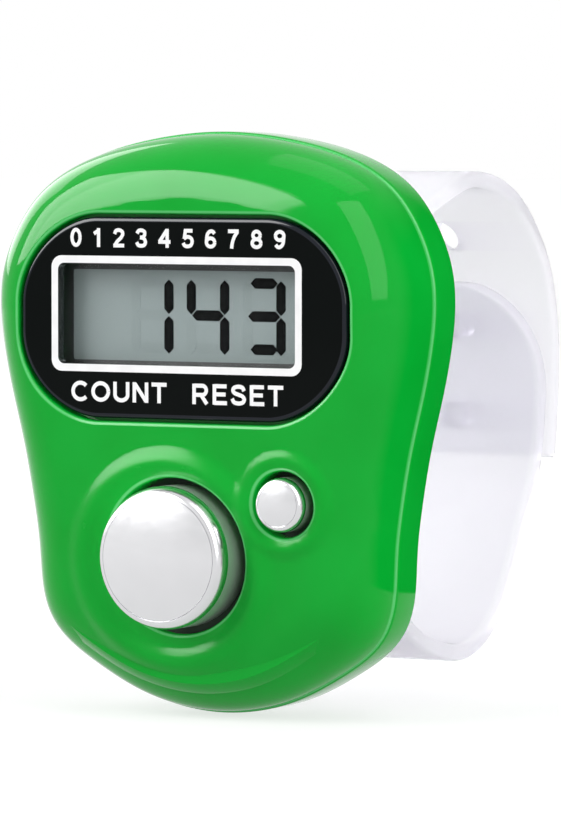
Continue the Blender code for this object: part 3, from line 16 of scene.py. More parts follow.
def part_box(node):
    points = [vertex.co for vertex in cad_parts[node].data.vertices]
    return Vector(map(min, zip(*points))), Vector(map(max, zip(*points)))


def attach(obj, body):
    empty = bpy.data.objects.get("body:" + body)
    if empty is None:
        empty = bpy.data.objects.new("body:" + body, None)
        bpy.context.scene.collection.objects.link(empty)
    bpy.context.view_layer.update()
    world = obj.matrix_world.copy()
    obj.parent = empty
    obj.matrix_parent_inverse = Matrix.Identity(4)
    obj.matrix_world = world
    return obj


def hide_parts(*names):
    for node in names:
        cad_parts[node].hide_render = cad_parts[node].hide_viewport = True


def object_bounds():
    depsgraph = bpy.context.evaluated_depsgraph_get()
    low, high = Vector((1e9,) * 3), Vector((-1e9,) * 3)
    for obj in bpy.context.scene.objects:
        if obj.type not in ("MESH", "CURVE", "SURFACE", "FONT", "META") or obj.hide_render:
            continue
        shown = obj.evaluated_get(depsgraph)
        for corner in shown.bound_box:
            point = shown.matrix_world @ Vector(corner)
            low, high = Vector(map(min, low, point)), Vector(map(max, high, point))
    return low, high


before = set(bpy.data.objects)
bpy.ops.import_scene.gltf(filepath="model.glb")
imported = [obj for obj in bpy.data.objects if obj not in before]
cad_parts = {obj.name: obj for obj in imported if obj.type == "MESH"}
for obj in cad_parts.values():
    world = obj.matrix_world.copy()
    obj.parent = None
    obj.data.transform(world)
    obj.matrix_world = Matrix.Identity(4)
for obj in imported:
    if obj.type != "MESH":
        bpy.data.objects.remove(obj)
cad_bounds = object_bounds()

bl_info = {
    "name": "Tally counter looks",
    "version": (1, 0, 0),
    "blender": (4, 5, 0),
    "location": "3D View > Sidebar > Tally counter",
    "description": "Builds the shells, lens, display, buttons, strap and studio of a finger tally counter",
    "category": "Object",
}


def middle_of(low, high):
    """The middle of a node's box as seen from the front, as X and Z."""
    return (low.x + high.x) / 2, (low.z + high.z) / 2


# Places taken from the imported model
CASE_LOW, CASE_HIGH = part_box("front_case")
LENS_LOW, LENS_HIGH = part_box("display_lens")
COUNT_LOW, COUNT_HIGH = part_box("count_button")
RESET_LOW, RESET_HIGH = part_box("reset_button")
PANEL_LOW, PANEL_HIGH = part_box("lcd_front_glass")
COVER_LOW, COVER_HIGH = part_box("battery_cover")
PIN_LOW, PIN_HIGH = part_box("strap_pin_upper")

# The case: half its outline from top to bottom, as shares of half its width and half its height
OUTLINE_SHAPE = (
    (0.0, 1.0),
    (0.482, 0.946),
    (0.794, 0.820),
    (0.959, 0.610),
    (1.0, 0.415),
    (0.965, 0.176),
    (0.882, -0.122),
    (0.829, -0.415),
    (0.818, -0.585),
    (0.745, -0.741),
    (0.529, -0.873),
    (0.282, -0.966),
    (0.0, -1.0),
)
OUTLINE_WAVES = 22
OUTLINE_STEPS = 288
OUTLINE_FINENESS = 4
OUTLINE_SPAN_STEPS = 24
SIDE_WALL = 0.0030
CASE_WALL = 0.0012
CREASE_Y = CASE_HIGH.y - SIDE_WALL
DOME_RISE = 0.0059
DOME_EDGE = 0.0047
CROWN_CENTRE_Z = 0.0060
CROWN_DROP = 3.3
CEILING_RISE = 0.0039
DOME_RINGS = 26
DOME_RING_REACH = 0.0022
DOME_GRID = 0.0004
POINT_CLEARANCE = 0.00012
SLOPE_STEP = 0.00001
RIM_EDGE = 0.00012
INNER_WALL_STEPS = 4
INNER_WALL_REACH = 0.55

# The buttons and the soft rings moulded round them
COUNT_CENTRE = middle_of(COUNT_LOW, COUNT_HIGH)
COUNT_RADIUS = 0.0050
COUNT_GAP = 0.0005
COUNT_STEPS = 200
COLLAR_CENTRE = (COUNT_CENTRE[0] - 0.00045, COUNT_CENTRE[1] - 0.00055)
COLLAR_RADIUS = 0.00705
COLLAR_SPREAD = 0.0015
COLLAR_RISE = 0.00042
COLLAR_FADE_RADIUS = 0.00682
RESET_CENTRE = middle_of(RESET_LOW, RESET_HIGH)
RESET_RADIUS = 0.0019
RESET_GAP = 0.0004
RESET_STEPS = 120
RESET_ROUNDING_SHARE = 0.6
RESET_RING_RADIUS = 0.0031
RESET_RING_SPREAD = 0.0009
RESET_RING_RISE = 0.00022
FACE_GROOVE = 0.00005
FLANGE_GAP = 0.0001
FLANGE_THICKNESS = 0.0006
SHOULDER_STEPS = 10
FACE_SHARES = (0.0, 0.2, 0.4, 0.6, 0.8, 0.9)

# The lens and what is printed on it
LENS_CORNER = 0.0056
LENS_BULGE = 0.0005
LENS_GAP = 0.0002
LENS_STEPS = 240
LENS_CORNER_STEPS = 40
LENS_EDGE_STEPS = 7
LENS_THICKNESS = 0.0009
LENS_LEDGE_GAP = 0.0001
LENS_LEDGE_DEPTH = LENS_LOW.y + LENS_THICKNESS + LENS_LEDGE_GAP - CREASE_Y
WINDOW_HOLE_X = (-0.0108, 0.0098)
WINDOW_HOLE_Z = (0.0035, 0.0119)
WINDOW_HOLE_CORNER = 0.0008
WINDOW_HOLE_STEPS = 4
PANE_GAP = 0.00001
PRINT_X = (-0.01048, 0.00949)
PRINT_Z = (0.00370, 0.01182)
PRINT_LINE = 0.00052
PRINT_CORNER = 0.00080
PRINT_INNER_CORNER = PRINT_CORNER - PRINT_LINE * 0.6
PRINT_THICKNESS = 0.000012
TEXT_STROKE = 0.20
TEXT_STRETCH = 1.12
TEXT_ARC_STEPS = 32
TEXT_BEND_STEPS = 6
LAYER_STEP = 0.000003
UPPER_TEXT_Z = (0.01243, 0.01375)
UPPER_TEXT_X = (-0.00895, 0.00825)
LOWER_TEXT_Z = (0.00160, 0.00302)
COUNT_TEXT_X = (-0.00888, -0.00118)
RESET_TEXT_X = (0.00087, 0.00806)

# The display
PANEL_CORNER = 0.0002
BORDER_THICKNESS = 0.00003
VIEW_X = (-0.00975, 0.00965)
VIEW_Z = (0.00445, 0.01082)
VIEW_CORNER = 0.00015
DIGIT_RIGHT_EDGES = (0.00725, 0.00279, -0.00167, -0.00613)
DIGIT_WIDTH = 0.0034
DIGIT_Z = (0.00503, 0.01036)
DIGIT_STROKE = 0.00074
DIGIT_GAP = 0.00006
DIGIT_REACH = 0.00019
DIGIT_LOWER_REACH = 0.00042
DIGIT_THICKNESS = 0.00002
SEGMENTS_LIT = {"0": "abcdef", "1": "bc", "2": "abged", "3": "abgcd", "4": "fgbc", "5": "afgcd",
                "6": "afgedc", "7": "abc", "8": "abcdefg", "9": "abcdfg"}

# The back case, its cover and its lugs
BACK_STEP = 0.0008
BACK_TAPER = 0.0033
BACK_GAP = 0.0001
BACK_DEPTH = 0.0072
BACK_CURVE = ((0.0, 0.0), (0.20, 0.38), (0.52, 0.74), (0.78, 0.92), (1.0, 1.0))
BACK_CURVE_STEPS = 5
LIP_HEIGHT = 0.0012
COVER_SEAT_GAP = 0.0001
COVER_LEDGE_DEPTH = 0.00645
COVER_NOTCH_RADIUS = 0.00685
COVER_HOLE_RADIUS = 0.00615
COVER_HOLE_DEPTH = 0.0008
COVER_NOTCH_TURN = math.radians(45.0)
COVER_NOTCH_HALF_ANGLE = math.radians(18.0)
COVER_NECK_RADIUS = 0.0060
COVER_FLANGE = 0.0003
COVER_EDGE = 0.00015
COVER_GROOVE_SHARES = (0.82, 0.86)
COVER_GROOVE_SLOPE = 0.00012
COVER_GROOVE_DEPTH = 0.00008
COIN_SLOT = (0.0092, 0.0014, 0.0006)
COIN_SLOT_CORNER_SHARE = 0.25
TOOL_REACH = 0.001
SCREW_STEPS = 48
SCREW_HEAD_RADIUS = 0.0011
SCREW_HEAD = 0.0007
SCREW_HEAD_EDGE = 0.0002
SCREW_SHANK_RADIUS = 0.0006
SCREW_LENGTH = 0.0080
SCREW_HOLE_GAP = 0.0001
SCREW_HOLE_EDGE = 0.00008
SCREW_SEAT_GAP = 0.0002
CROSS_REACH_SHARE = 0.62
CROSS_HALF_WIDTH_SHARE = 0.14
CROSS_DEPTH = 0.0003
LUG_INNER_X = 0.0083
LUG_WIDTH = 0.0015
LUG_RADIUS = 0.0012
LUG_EASE = 0.00015
LUG_SINK = 0.0004
LUG_STEPS = 16
BACK_CASE_SCREWS = ("case_screw_1", "case_screw_2", "case_screw_3", "case_screw_4")

# The strap, as depths and heights of the middle of its two halves
PIN_DEPTH = (PIN_LOW.y + PIN_HIGH.y) / 2 - CREASE_Y
PIN_Z = (PIN_LOW.z + PIN_HIGH.z) / 2
PIN_RADIUS = (PIN_HIGH.z - PIN_LOW.z) / 2
PIN_HALF_LENGTH = (PIN_HIGH.x - PIN_LOW.x) / 2
PIN_EASE = 0.0001
PIN_STEPS = 28
EYE_RADIUS = 0.00105
EYE_EASE = 0.0002
STRAP_THICKNESS = 0.0012
STRAP_ROOT_WIDTH = 0.0160
STRAP_WIDTH = 0.0220
STRAP_FLARE = 0.0110
# Width over which the strap's painted edge highlight fades out on its broad faces
STRAP_HIGHLIGHT_FADE = 0.0003
STRAP_END_ROUND = 0.0004
STRAP_END_CLEAR = 0.0006
STRAP_ROUND_SHARE = 0.9
STRAP_SPAN_STEPS = 16
STRAP_CORNER_STEPS = 4
UPPER_STRAP_PATH = (
    (0.0120, 0.0142),
    (0.0155, 0.0164),
    (0.0190, 0.0170),
    (0.0236, 0.0161),
    (0.0271, 0.0140),
    (0.0300, 0.0106),
    (0.0314, 0.0065),
    (0.0316, 0.0029),
    (0.0313, -0.0010),
    (0.0309, -0.0037),
)
LOWER_STRAP_PATH = (
    (0.0112, -0.0152),
    (0.0145, -0.0169),
    (0.0184, -0.0167),
    (0.0217, -0.0148),
    (0.0240, -0.0119),
    (0.0261, -0.0084),
    (0.0281, -0.0052),
)
TONGUE_Z = (-0.0012, 0.0100)
TONGUE_CORNER_WIDTH = 0.0065
TONGUE_CORNER_LENGTH = 0.0085
SNAP_GAP = 0.0009
STUD_RADIUS = 0.00095
STUD_GAP = 0.0001
STUD_EASE = 0.0003
STUD_X = 0.0036
STUD_TOP_Z = 0.0060
STUD_PITCH = 0.0067
SNAP_HEIGHTS = [STUD_TOP_Z + STUD_PITCH * (1 - number) for number in range(3)]
STRAP_STEPS = 150

# Shading and small roundings
SHARP_ANGLE = math.radians(35.0)
FLAT_ANGLE = math.radians(0.5)
CREASE_START = math.radians(35.0)
RING_DULLNESS = 0.20
ARC_STEPS = 5
CORNER_STEPS = 6
SMALL_CORNER_STEPS = 3
SUPPORT = 0.00003
ROUND_STEPS = 144
SMALL_ROUND_STEPS = 32
FILL_SCALE = 1000.0
FILL_TOLERANCE = 1e-6
PART_LENGTH = 400

# Plain plastics: colour, shade, least and most roughness, grain in waves a metre, its height, and sheen
PLASTICS = {
    # The flange is coloured dark as painted shade, standing for the shadow in the gap round the buttons
    "bare_flange": ((0.010, 0.022, 0.013), (0.014, 0.028, 0.017), (0.5, 0.6), 2000.0, 0.000002, 0.2),
    "display_black_border": ((0.010, 0.011, 0.012), (0.014, 0.015, 0.016), (0.4, 0.5), 3000.0, 0.000002),
    "inside_black_plastic": ((0.020, 0.020, 0.021), (0.030, 0.030, 0.031), (0.35, 0.5), 1800.0, 0.000005),
    "inside_black_rubber": ((0.028, 0.028, 0.029), (0.038, 0.038, 0.038), (0.6, 0.75), 1500.0, 0.000008),
    "tan_ceramic": ((0.50, 0.36, 0.22), (0.44, 0.31, 0.18), (0.4, 0.5), 2500.0, 0.000003),
    "reflector_foil": ((0.52, 0.54, 0.53), (0.48, 0.50, 0.49), (0.35, 0.5), 1800.0, 0.000002),
    "side_dark_card_cloth": ((0.020, 0.020, 0.020), (0.026, 0.026, 0.026), (0.8, 0.9), 60.0, 0.0001, 0.0),
}

# Plain metals: colour, shade, least and most roughness, and how the drawn marks are stretched
METALS = {
    # The satin side of the buttons is rougher, and darker as painted shade for the gap round them
    "satin_chrome": ((0.56, 0.58, 0.575), (0.52, 0.54, 0.535), (0.30, 0.38)),
    "screw_steel": ((0.60, 0.60, 0.61), (0.50, 0.50, 0.51), (0.25, 0.38)),
    "pin_steel": ((0.62, 0.62, 0.63), (0.54, 0.54, 0.55), (0.22, 0.34), (0.2, 1.0, 1.0)),
    "cell_steel": ((0.66, 0.66, 0.67), (0.60, 0.60, 0.61), (0.18, 0.30), (0.15, 1.0, 1.0)),
    "contact_brass": ((0.80, 0.62, 0.30), (0.70, 0.52, 0.24), (0.20, 0.34)),
}

# The part of a noise's range over which a colour drifts, and over which a number varies
DRIFT_SPAN = (0.35, 0.65)
VARY_SPAN = (0.3, 0.7)

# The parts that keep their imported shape, by finish
INSIDE_FINISHES = (
    ("inside_black_plastic", ("lcd_bezel", "count_switch_body", "count_switch_plunger", "reset_switch_body",
                              "reset_switch_plunger", "chip_blob", "resistor")),
    ("inside_black_rubber", ("zebra_strip", "battery_cover_seal")),
    ("tan_ceramic", ("capacitor",)),
    ("reflector_foil", ("lcd_reflector",)),
    ("cell_steel", ("battery_can", "battery_cap", "count_switch_cover", "reset_switch_cover",
                    "board_screw_1", "board_screw_2")),
    ("contact_brass", ("contact_negative", "contact_positive")),
)

# The studio, about the middle of the crease. Turns and heights are in degrees, from the front and the floor
STUDIO_MIDDLE = Vector((0.0, CREASE_Y, 0.0))
CAMERA_SENSOR = 36.0
CAMERA_CLIP = (0.01, 20.0)
FLOOR_HALF_SIZE = 3.0
FLOOR_DROP = 0.0002
FLOOR_FILL = 0.50
CARD_TURNS = (88.0, 176.0)
CARD_DISTANCE = 0.060
CARD_TOP = 0.075
CARD_FADE = 18.0
CARD_STEPS = 24
LAMP_DISTANCE = 0.60

# Each lamp's name, turn, height, size, glow and the rays that don't see it
LAMPS = (
    ("key_softbox", -42.0, 34.0, (0.34, 0.44), 4.1, ()),
    ("right_softbox", 62.0, 40.0, (0.25, 0.72), 3.0, ("glossy",)),
    ("right_sheen_card", 61.0, 37.0, (0.33, 0.80), 4.0, ("diffuse", "transmission")),
    ("side_softbox", 86.0, 8.0, (0.36, 0.36), 3.0, ("glossy",)),
    ("back_softbox", -118.0, 22.0, (0.36, 0.36), 3.0, ()),
    ("top_softbox", 180.0, 75.0, (0.36, 0.30), 1.0, ()),
    ("sheen_card", -52.0, 32.0, (0.60, 0.46), 11.0, ("diffuse", "transmission")),
)


def y_at(depth):
    """The place on Y of a depth behind the crease."""
    return CREASE_Y + depth


# Settings that a user would change


def colour_setting(name, description, default):
    """A colour, from its red, green and blue."""
    return FloatVectorProperty(
        name=name, description=description, default=(*default, 1.0),
        subtype="COLOR", size=4, min=0.0, max=1.0,
    )


def size_setting(name, description, default, low, high):
    """A small size between two limits."""
    return FloatProperty(
        name=name, description=description, default=default, min=low, max=high, unit="LENGTH", precision=5,
    )


class TallyCaseSettings(PropertyGroup):
    """The green case."""

    colour: colour_setting("Case colour", "Colour of the case's plastic", (0.002, 0.375, 0.030))
    shade: colour_setting("Case shade", "Colour that the plastic drifts to in places", (0.001, 0.350, 0.025))
    # Painted highlight: a lighter colour laid along the crease and the lips of the openings, standing for
    # the light lines they catch
    painted_highlight_colour: colour_setting(
        "Case edge colour", "Colour along the moulded edges, where the plastic is thin", (0.10, 0.56, 0.16),
    )
    crease: size_setting(
        "Crease step", "Width of the small round step under the dome", 0.00016, 0.00005, 0.0005,
    )
    lip: size_setting(
        "Opening lip", "Rounding of the edges of the lens recess and button holes", 0.00030, 0.00005, 0.0005,
    )


class TallyLensSettings(PropertyGroup):
    """The printed lens."""

    colour: colour_setting("Lens colour", "Colour printed behind the lens", (0.0022, 0.0034, 0.0032))
    ink: colour_setting("Ink colour", "Colour of the printed frame and words", (0.93, 0.93, 0.935))
    edge: size_setting("Lens edge", "Rounding of the front edge of the lens", 0.00030, 0.0001, 0.0008)
    upper_text: StringProperty(
        name="Upper figures", description="Plain figures over the display", default="0123456789",
    )
    left_text: StringProperty(name="Left word", description="What the large button does", default="COUNT")
    right_text: StringProperty(name="Right word", description="What the small button does", default="RESET")


class TallyDisplaySettings(PropertyGroup):
    """The liquid crystal display."""

    number: StringProperty(name="Number", description="The count shown, up to four digits", default="143")
    colour: colour_setting("Display colour", "Colour of the unlit display", (0.148, 0.176, 0.175))
    digit: colour_setting("Digit colour", "Colour of the dark segments", (0.0015, 0.0018, 0.0018))


class TallyButtonSettings(PropertyGroup):
    """The two chromed buttons."""

    colour: colour_setting("Chrome colour", "Colour of the plating", (0.64, 0.64, 0.655))
    rim: size_setting(
        "Rim width", "Width of the soft shoulder round the large face", 0.00060, 0.0001, 0.0008,
    )
    shoulder: size_setting(
        "Shoulder depth", "How far back the large button's soft shoulder runs", 0.00115, 0.0001, 0.0016,
    )
    crown: size_setting(
        "Face crown", "How far the large face falls from its middle to its rim", 0.00034, 0.0, 0.0005,
    )


class TallyStrapSettings(PropertyGroup):
    """The soft strap."""

    colour: colour_setting("Strap colour", "Colour of the strap's broad faces", (0.89, 0.87, 0.93))
    # Painted highlight: the lighter colour along the strap's thin edges stands for the light that gathers
    # there
    painted_highlight_colour: colour_setting(
        "Strap edge colour", "Colour along the strap's thin edges", (0.93, 0.92, 0.955),
    )
    rounding: size_setting(
        "Edge rounding", "Rounding of the strap's long edges", 0.00035, 0.0001, 0.0006,
    )


class TallyStageSettings(PropertyGroup):
    """The studio."""

    azimuth: FloatProperty(
        name="Camera turn", description="How far the camera stands to the right of the front",
        default=math.radians(28.5), subtype="ANGLE",
    )
    elevation: FloatProperty(
        name="Camera height", description="How far the camera looks down",
        default=math.radians(3.0), subtype="ANGLE",
    )
    distance: FloatProperty(
        name="Camera distance", description="Distance from the camera to the middle of the crease",
        default=0.40, min=0.1, unit="LENGTH",
    )
    lens: FloatProperty(
        name="Focal length", description="The camera's focal length", default=245.8, unit="CAMERA",
    )
    aim_right: FloatProperty(
        name="Aim to the right", description="How far right of the crease's middle the camera aims",
        default=0.00419, unit="LENGTH", precision=5,
    )
    aim_up: FloatProperty(
        name="Aim up", description="How far above the crease's middle the camera aims",
        default=0.00049, unit="LENGTH", precision=5,
    )
    ambient: FloatProperty(
        name="Room light", description="Strength of the even light from all round", default=0.50, min=0.0,
    )


# Outlines, as rows of X and Z


def spline(points, closed, steps):
    """A smooth curve through rows of points, with the given steps in each span."""
    points = np.asarray(points, float)
    if closed:
        padded = np.vstack([points[-1:], points, points[:2]])
    else:
        padded = np.vstack([2 * points[:1] - points[1:2], points, 2 * points[-1:] - points[-2:-1]])
    share = np.linspace(0.0, 1.0, steps, endpoint=False)[:, None]
    spans = []
    for before, start, end, after in zip(padded, padded[1:], padded[2:], padded[3:]):
        slope = end - before
        bend = 2 * before - 5 * start + 4 * end - after
        twist = 3 * start - before - 3 * end + after
        spans.append(0.5 * (2 * start + slope * share + bend * share ** 2 + twist * share ** 3))
    if not closed:
        spans.append(points[-1:])
    return np.vstack(spans)


def even_steps(points, count, closed=True):
    """Points at even steps along a line, or round a closed one."""
    line = np.vstack([points, points[:1]]) if closed else points
    lengths = np.linalg.norm(np.diff(line, axis=0), axis=1)
    travelled = np.concatenate([[0.0], np.cumsum(lengths)])
    places = np.linspace(0.0, travelled[-1], count, endpoint=not closed)
    return np.column_stack([np.interp(places, travelled, line[:, axis]) for axis in (0, 1)])


def without_short_waves(loop, waves):
    """A closed loop without the short waves that its few given points leave in it."""
    spectrum = np.fft.fft(loop[:, 0] + 1j * loop[:, 1])
    order = np.abs(np.fft.fftfreq(len(loop), 1 / len(loop)))
    softened = np.fft.ifft(spectrum * np.exp(-(order / waves) ** 4))
    return np.column_stack([softened.real, softened.imag])


def case_outline():
    """The outline of the case, clockwise from the top as seen from the front, in fine steps."""
    half = np.array([CASE_HIGH.x - CASE_LOW.x, CASE_HIGH.z - CASE_LOW.z]) / 2
    right = np.array(OUTLINE_SHAPE) * half
    left = right[-2:0:-1] * (-1, 1)
    curve = spline(np.vstack([right, left]), True, OUTLINE_SPAN_STEPS)
    loop = even_steps(curve, OUTLINE_STEPS * OUTLINE_FINENESS)
    return without_short_waves(loop, OUTLINE_WAVES)


def inset_loop(loop, inset):
    """A clockwise loop moved inwards along its normals."""
    along = np.roll(loop, -1, axis=0) - np.roll(loop, 1, axis=0)
    along /= np.linalg.norm(along, axis=1)[:, None]
    return loop + inset * np.column_stack([along[:, 1], -along[:, 0]])


def circle(centre, radius, steps):
    """A clockwise circle."""
    turns = -2 * np.pi * np.arange(steps) / steps
    return np.array(centre) + radius * np.column_stack([np.cos(turns), np.sin(turns)])


def rounded_rectangle(centre, size, corner, steps, bulge=0.0):
    """A clockwise rectangle with round corners, whose sides may swell outwards."""
    half = np.array(size) / 2 - bulge
    rows = []
    for quarter, signs in enumerate(((1, 1), (1, -1), (-1, -1), (-1, 1))):
        turns = np.pi / 2 * (1 - quarter - np.linspace(0.0, 1.0, steps + 1))
        around = corner * np.column_stack([np.cos(turns), np.sin(turns)])
        rows.append(np.array(signs) * (half - corner) + around)
    loop = np.vstack(rows)
    swell = bulge * (1 - (loop[:, ::-1] / half[::-1]) ** 2)
    return np.array(centre) + loop + np.sign(loop) * swell


def range_rectangle(x_range, z_range, corner, steps):
    """A clockwise rectangle with round corners between two limits on X and two on Z."""
    centre = (sum(x_range) / 2, sum(z_range) / 2)
    size = (x_range[1] - x_range[0], z_range[1] - z_range[0])
    return rounded_rectangle(centre, size, corner, steps)


def lens_outline(margin):
    """The outline of the lens, grown by a margin."""
    size = (LENS_HIGH.x - LENS_LOW.x + 2 * margin, LENS_HIGH.z - LENS_LOW.z + 2 * margin)
    centre = middle_of(LENS_LOW, LENS_HIGH)
    loop = rounded_rectangle(centre, size, LENS_CORNER + margin, LENS_CORNER_STEPS, LENS_BULGE)
    return even_steps(loop, LENS_STEPS)


def window_outline():
    """The clear window, which is the inside of the printed frame."""
    x_range = (PRINT_X[0] + PRINT_LINE, PRINT_X[1] - PRINT_LINE)
    z_range = (PRINT_Z[0] + PRINT_LINE, PRINT_Z[1] - PRINT_LINE)
    return range_rectangle(x_range, z_range, PRINT_INNER_CORNER, CORNER_STEPS)


def in_parts(points):
    """Rows of points in parts small enough to compare with a whole outline at once."""
    return np.array_split(points, max(1, len(points) // PART_LENGTH))


def edge_distance(points, loop):
    """How far each point lies from a closed loop."""
    run = np.roll(loop, -1, axis=0) - loop
    square = (run ** 2).sum(axis=1)
    distances = []
    for part in in_parts(points):
        away = part[:, None] - loop[None]
        share = np.clip((away * run).sum(axis=2) / square, 0.0, 1.0)
        distances.append(np.linalg.norm(away - share[..., None] * run, axis=2).min(axis=1))
    return np.concatenate(distances)


def is_inside(points, loop):
    """Whether each point lies inside a closed loop."""
    ends = np.roll(loop, -1, axis=0)
    climb = ends[:, 1] - loop[:, 1]
    climb = np.where(climb == 0.0, 1e-12, climb)
    found = []
    for part in in_parts(points):
        x, z = part[:, :1], part[:, 1:]
        crossed = (loop[:, 1] > z) != (ends[:, 1] > z)
        reach = loop[:, 0] + (z - loop[:, 1]) / climb * (ends[:, 0] - loop[:, 0])
        found.append((crossed & (x < reach)).sum(axis=1) % 2 == 1)
    return np.concatenate(found)


# Height of the dome


OUTLINE = case_outline()


def case_loop(inset):
    """The outline of the case moved inwards, at the steps that its meshes have."""
    return inset_loop(OUTLINE, inset)[::OUTLINE_FINENESS]


def smooth_bump(distance, spread):
    """One at no distance, falling smoothly to nothing at the spread."""
    reach = np.minimum(np.abs(distance) / spread, 1.0)
    return 0.5 + 0.5 * np.cos(np.pi * reach)


def ring_bump(points, centre, radius, spread):
    """A soft ring about a centre: one along its radius, and nothing past its spread."""
    return smooth_bump(np.linalg.norm(points - centre, axis=1) - radius, spread)


def dome_rise(points, crease):
    """Height of the case's front face over the crease at rows of X and Z."""
    inset = edge_distance(points, OUTLINE) - crease
    share = np.clip(inset / (DOME_EDGE - crease), 0.0, 1.0)
    crown = CROWN_DROP * (points[:, 1] - CROWN_CENTRE_Z) ** 2
    rise = (DOME_RISE - crown) * np.sqrt(1.0 - (1.0 - share) ** 2)
    fade = 1.0 - ring_bump(points, RESET_CENTRE, 0.0, COLLAR_FADE_RADIUS)
    rise += COLLAR_RISE * fade * ring_bump(points, COLLAR_CENTRE, COLLAR_RADIUS, COLLAR_SPREAD)
    rise += RESET_RING_RISE * ring_bump(points, RESET_CENTRE, RESET_RING_RADIUS, RESET_RING_SPREAD)
    return rise


def ring_softness(points):
    """How far each point lies on one of the soft rings round the buttons, from none to one."""
    on_collar = ring_bump(points, COLLAR_CENTRE, COLLAR_RADIUS, COLLAR_SPREAD)
    on_ring = ring_bump(points, RESET_CENTRE, RESET_RING_RADIUS, RESET_RING_SPREAD)
    return np.sqrt(np.maximum(on_collar, on_ring))


def dome_normals(points, crease):
    """Outward normals of the dome at rows of X and Z."""
    inset = edge_distance(points, OUTLINE)
    inner = edge_direction(points)
    shortfall = np.maximum(crease + 2 * SLOPE_STEP - inset, 0.0)
    points = points + inner * shortfall[:, None]
    slopes = []
    for step in ((SLOPE_STEP, 0.0), (0.0, SLOPE_STEP)):
        rise = dome_rise(points + step, crease) - dome_rise(points - step, crease)
        slopes.append(rise / (2 * SLOPE_STEP))
    normals = np.column_stack([-slopes[0], -np.ones(len(points)), -slopes[1]])
    return normals / np.linalg.norm(normals, axis=1)[:, None]


def edge_direction(points):
    """Unit rows that point from the outline's nearest part towards its inside."""
    inner = inset_loop(OUTLINE, 1.0) - OUTLINE
    nearest = []
    for part in in_parts(points):
        away = np.linalg.norm(part[:, None] - OUTLINE[None], axis=2)
        nearest.append(away.argmin(axis=1))
    return inner[np.concatenate(nearest)]


# Mesh building


def add_ring(bm, loop, depths):
    """Vertices along a loop, at one depth or at one depth for each point."""
    depths = np.broadcast_to(depths, len(loop))
    return [bm.verts.new((x, y_at(depth), z)) for (x, z), depth in zip(loop, depths)]


def bridge(bm, first, second):
    """Faces between two rings of the same length."""
    total = len(first)
    for index in range(total):
        after = (index + 1) % total
        bm.faces.new((first[index], first[after], second[after], second[index]))


def bridge_all(bm, rings):
    """Faces between each ring and the next."""
    for first, second in zip(rings, rings[1:]):
        bridge(bm, first, second)


def cap_tube(bm, rings):
    """A closed solid through rings: faces between them, and one on each end."""
    bridge_all(bm, rings)
    bm.faces.new(rings[0][::-1])
    bm.faces.new(rings[-1])


def loft(bm, stations):
    """Rings through loops and depths, joined one to the next. The first and last ring are returned."""
    rings = [add_ring(bm, loop, depths) for loop, depths in stations]
    bridge_all(bm, rings)
    return rings[0], rings[-1]


def fill(bm, rings, inner_verts=()):
    """Triangles between an outer ring, the rings of its holes and loose vertices inside."""
    verts = [vert for ring in rings for vert in ring] + list(inner_verts)
    edges = []
    start = 0
    for ring in rings:
        total = len(ring)
        edges += [(start + index, start + (index + 1) % total) for index in range(total)]
        start += total
    flat = [Vector((vert.co.x * FILL_SCALE, vert.co.z * FILL_SCALE)) for vert in verts]
    _, _, triangles, sources, _, _ = geometry.delaunay_2d_cdt(flat, edges, [], 1, FILL_TOLERANCE)
    places = np.array(flat)
    corners = np.array([[sources[corner][0] for corner in face] for face in triangles])
    centres = places[corners].mean(axis=1)
    loops = [np.array([(vert.co.x, vert.co.z) for vert in ring]) * FILL_SCALE for ring in rings]
    keep = is_inside(centres, loops[0])
    for loop in loops[1:]:
        keep &= ~is_inside(centres, loop)
    return [bm.faces.new([verts[corner] for corner in face]) for face in corners[keep]]


def arc_pairs(radius, steps=ARC_STEPS, start=0.0):
    """Pairs of inset and drop along a round to the wall, a quarter round unless it starts at an angle."""
    turns = np.linspace(start, np.pi / 2, steps + 1)
    return [(radius * (1 - math.sin(turn)), radius * (math.cos(start) - math.cos(turn))) for turn in turns]


def turned_into(bm, profile, centre, steps=ROUND_STEPS):
    """A solid turned about an axis along Y, from pairs of radius and depth. Its ends have no radius."""
    rings = [add_ring(bm, circle(centre, radius, steps), depth) for radius, depth in profile[1:-1]]
    bridge_all(bm, rings)
    for ring, (_, depth) in ((rings[0], profile[0]), (rings[-1], profile[-1])):
        tip = bm.verts.new((centre[0], y_at(depth), centre[1]))
        for start, end in zip(ring, ring[1:] + ring[:1]):
            bm.faces.new((tip, start, end))


def round_end(radius, end, edge):
    """Pairs of radius and depth that round a turned solid over to its far end."""
    return [(radius - inset, end - drop) for inset, drop in reversed(arc_pairs(edge))]


def prism_into(bm, loop, front_depth, back_depth, edge=0.0):
    """A straight solid between two depths, with its front edge rounded."""
    pairs = arc_pairs(edge, SMALL_CORNER_STEPS) if edge else [(0.0, 0.0)]
    stations = [(inset_loop(loop, inset), front_depth + drop) for inset, drop in pairs]
    front, back = loft(bm, stations + [(loop, back_depth)])
    bm.faces.new(front)
    bm.faces.new(back[::-1])


def flat_frame_into(bm, outer, inner, front_depth, back_depth):
    """A thin flat frame between two loops, open behind."""
    rings = [loft(bm, [(loop, front_depth), (loop, back_depth)])[0] for loop in (outer, inner)]
    fill(bm, rings)


def shade_smooth(bm):
    """Smooth shading that keeps sharp corners."""
    for edge in bm.edges:
        edge.smooth = len(edge.link_faces) != 2 or edge.calc_face_angle(0.0) < SHARP_ANGLE
    for face in bm.faces:
        face.smooth = True


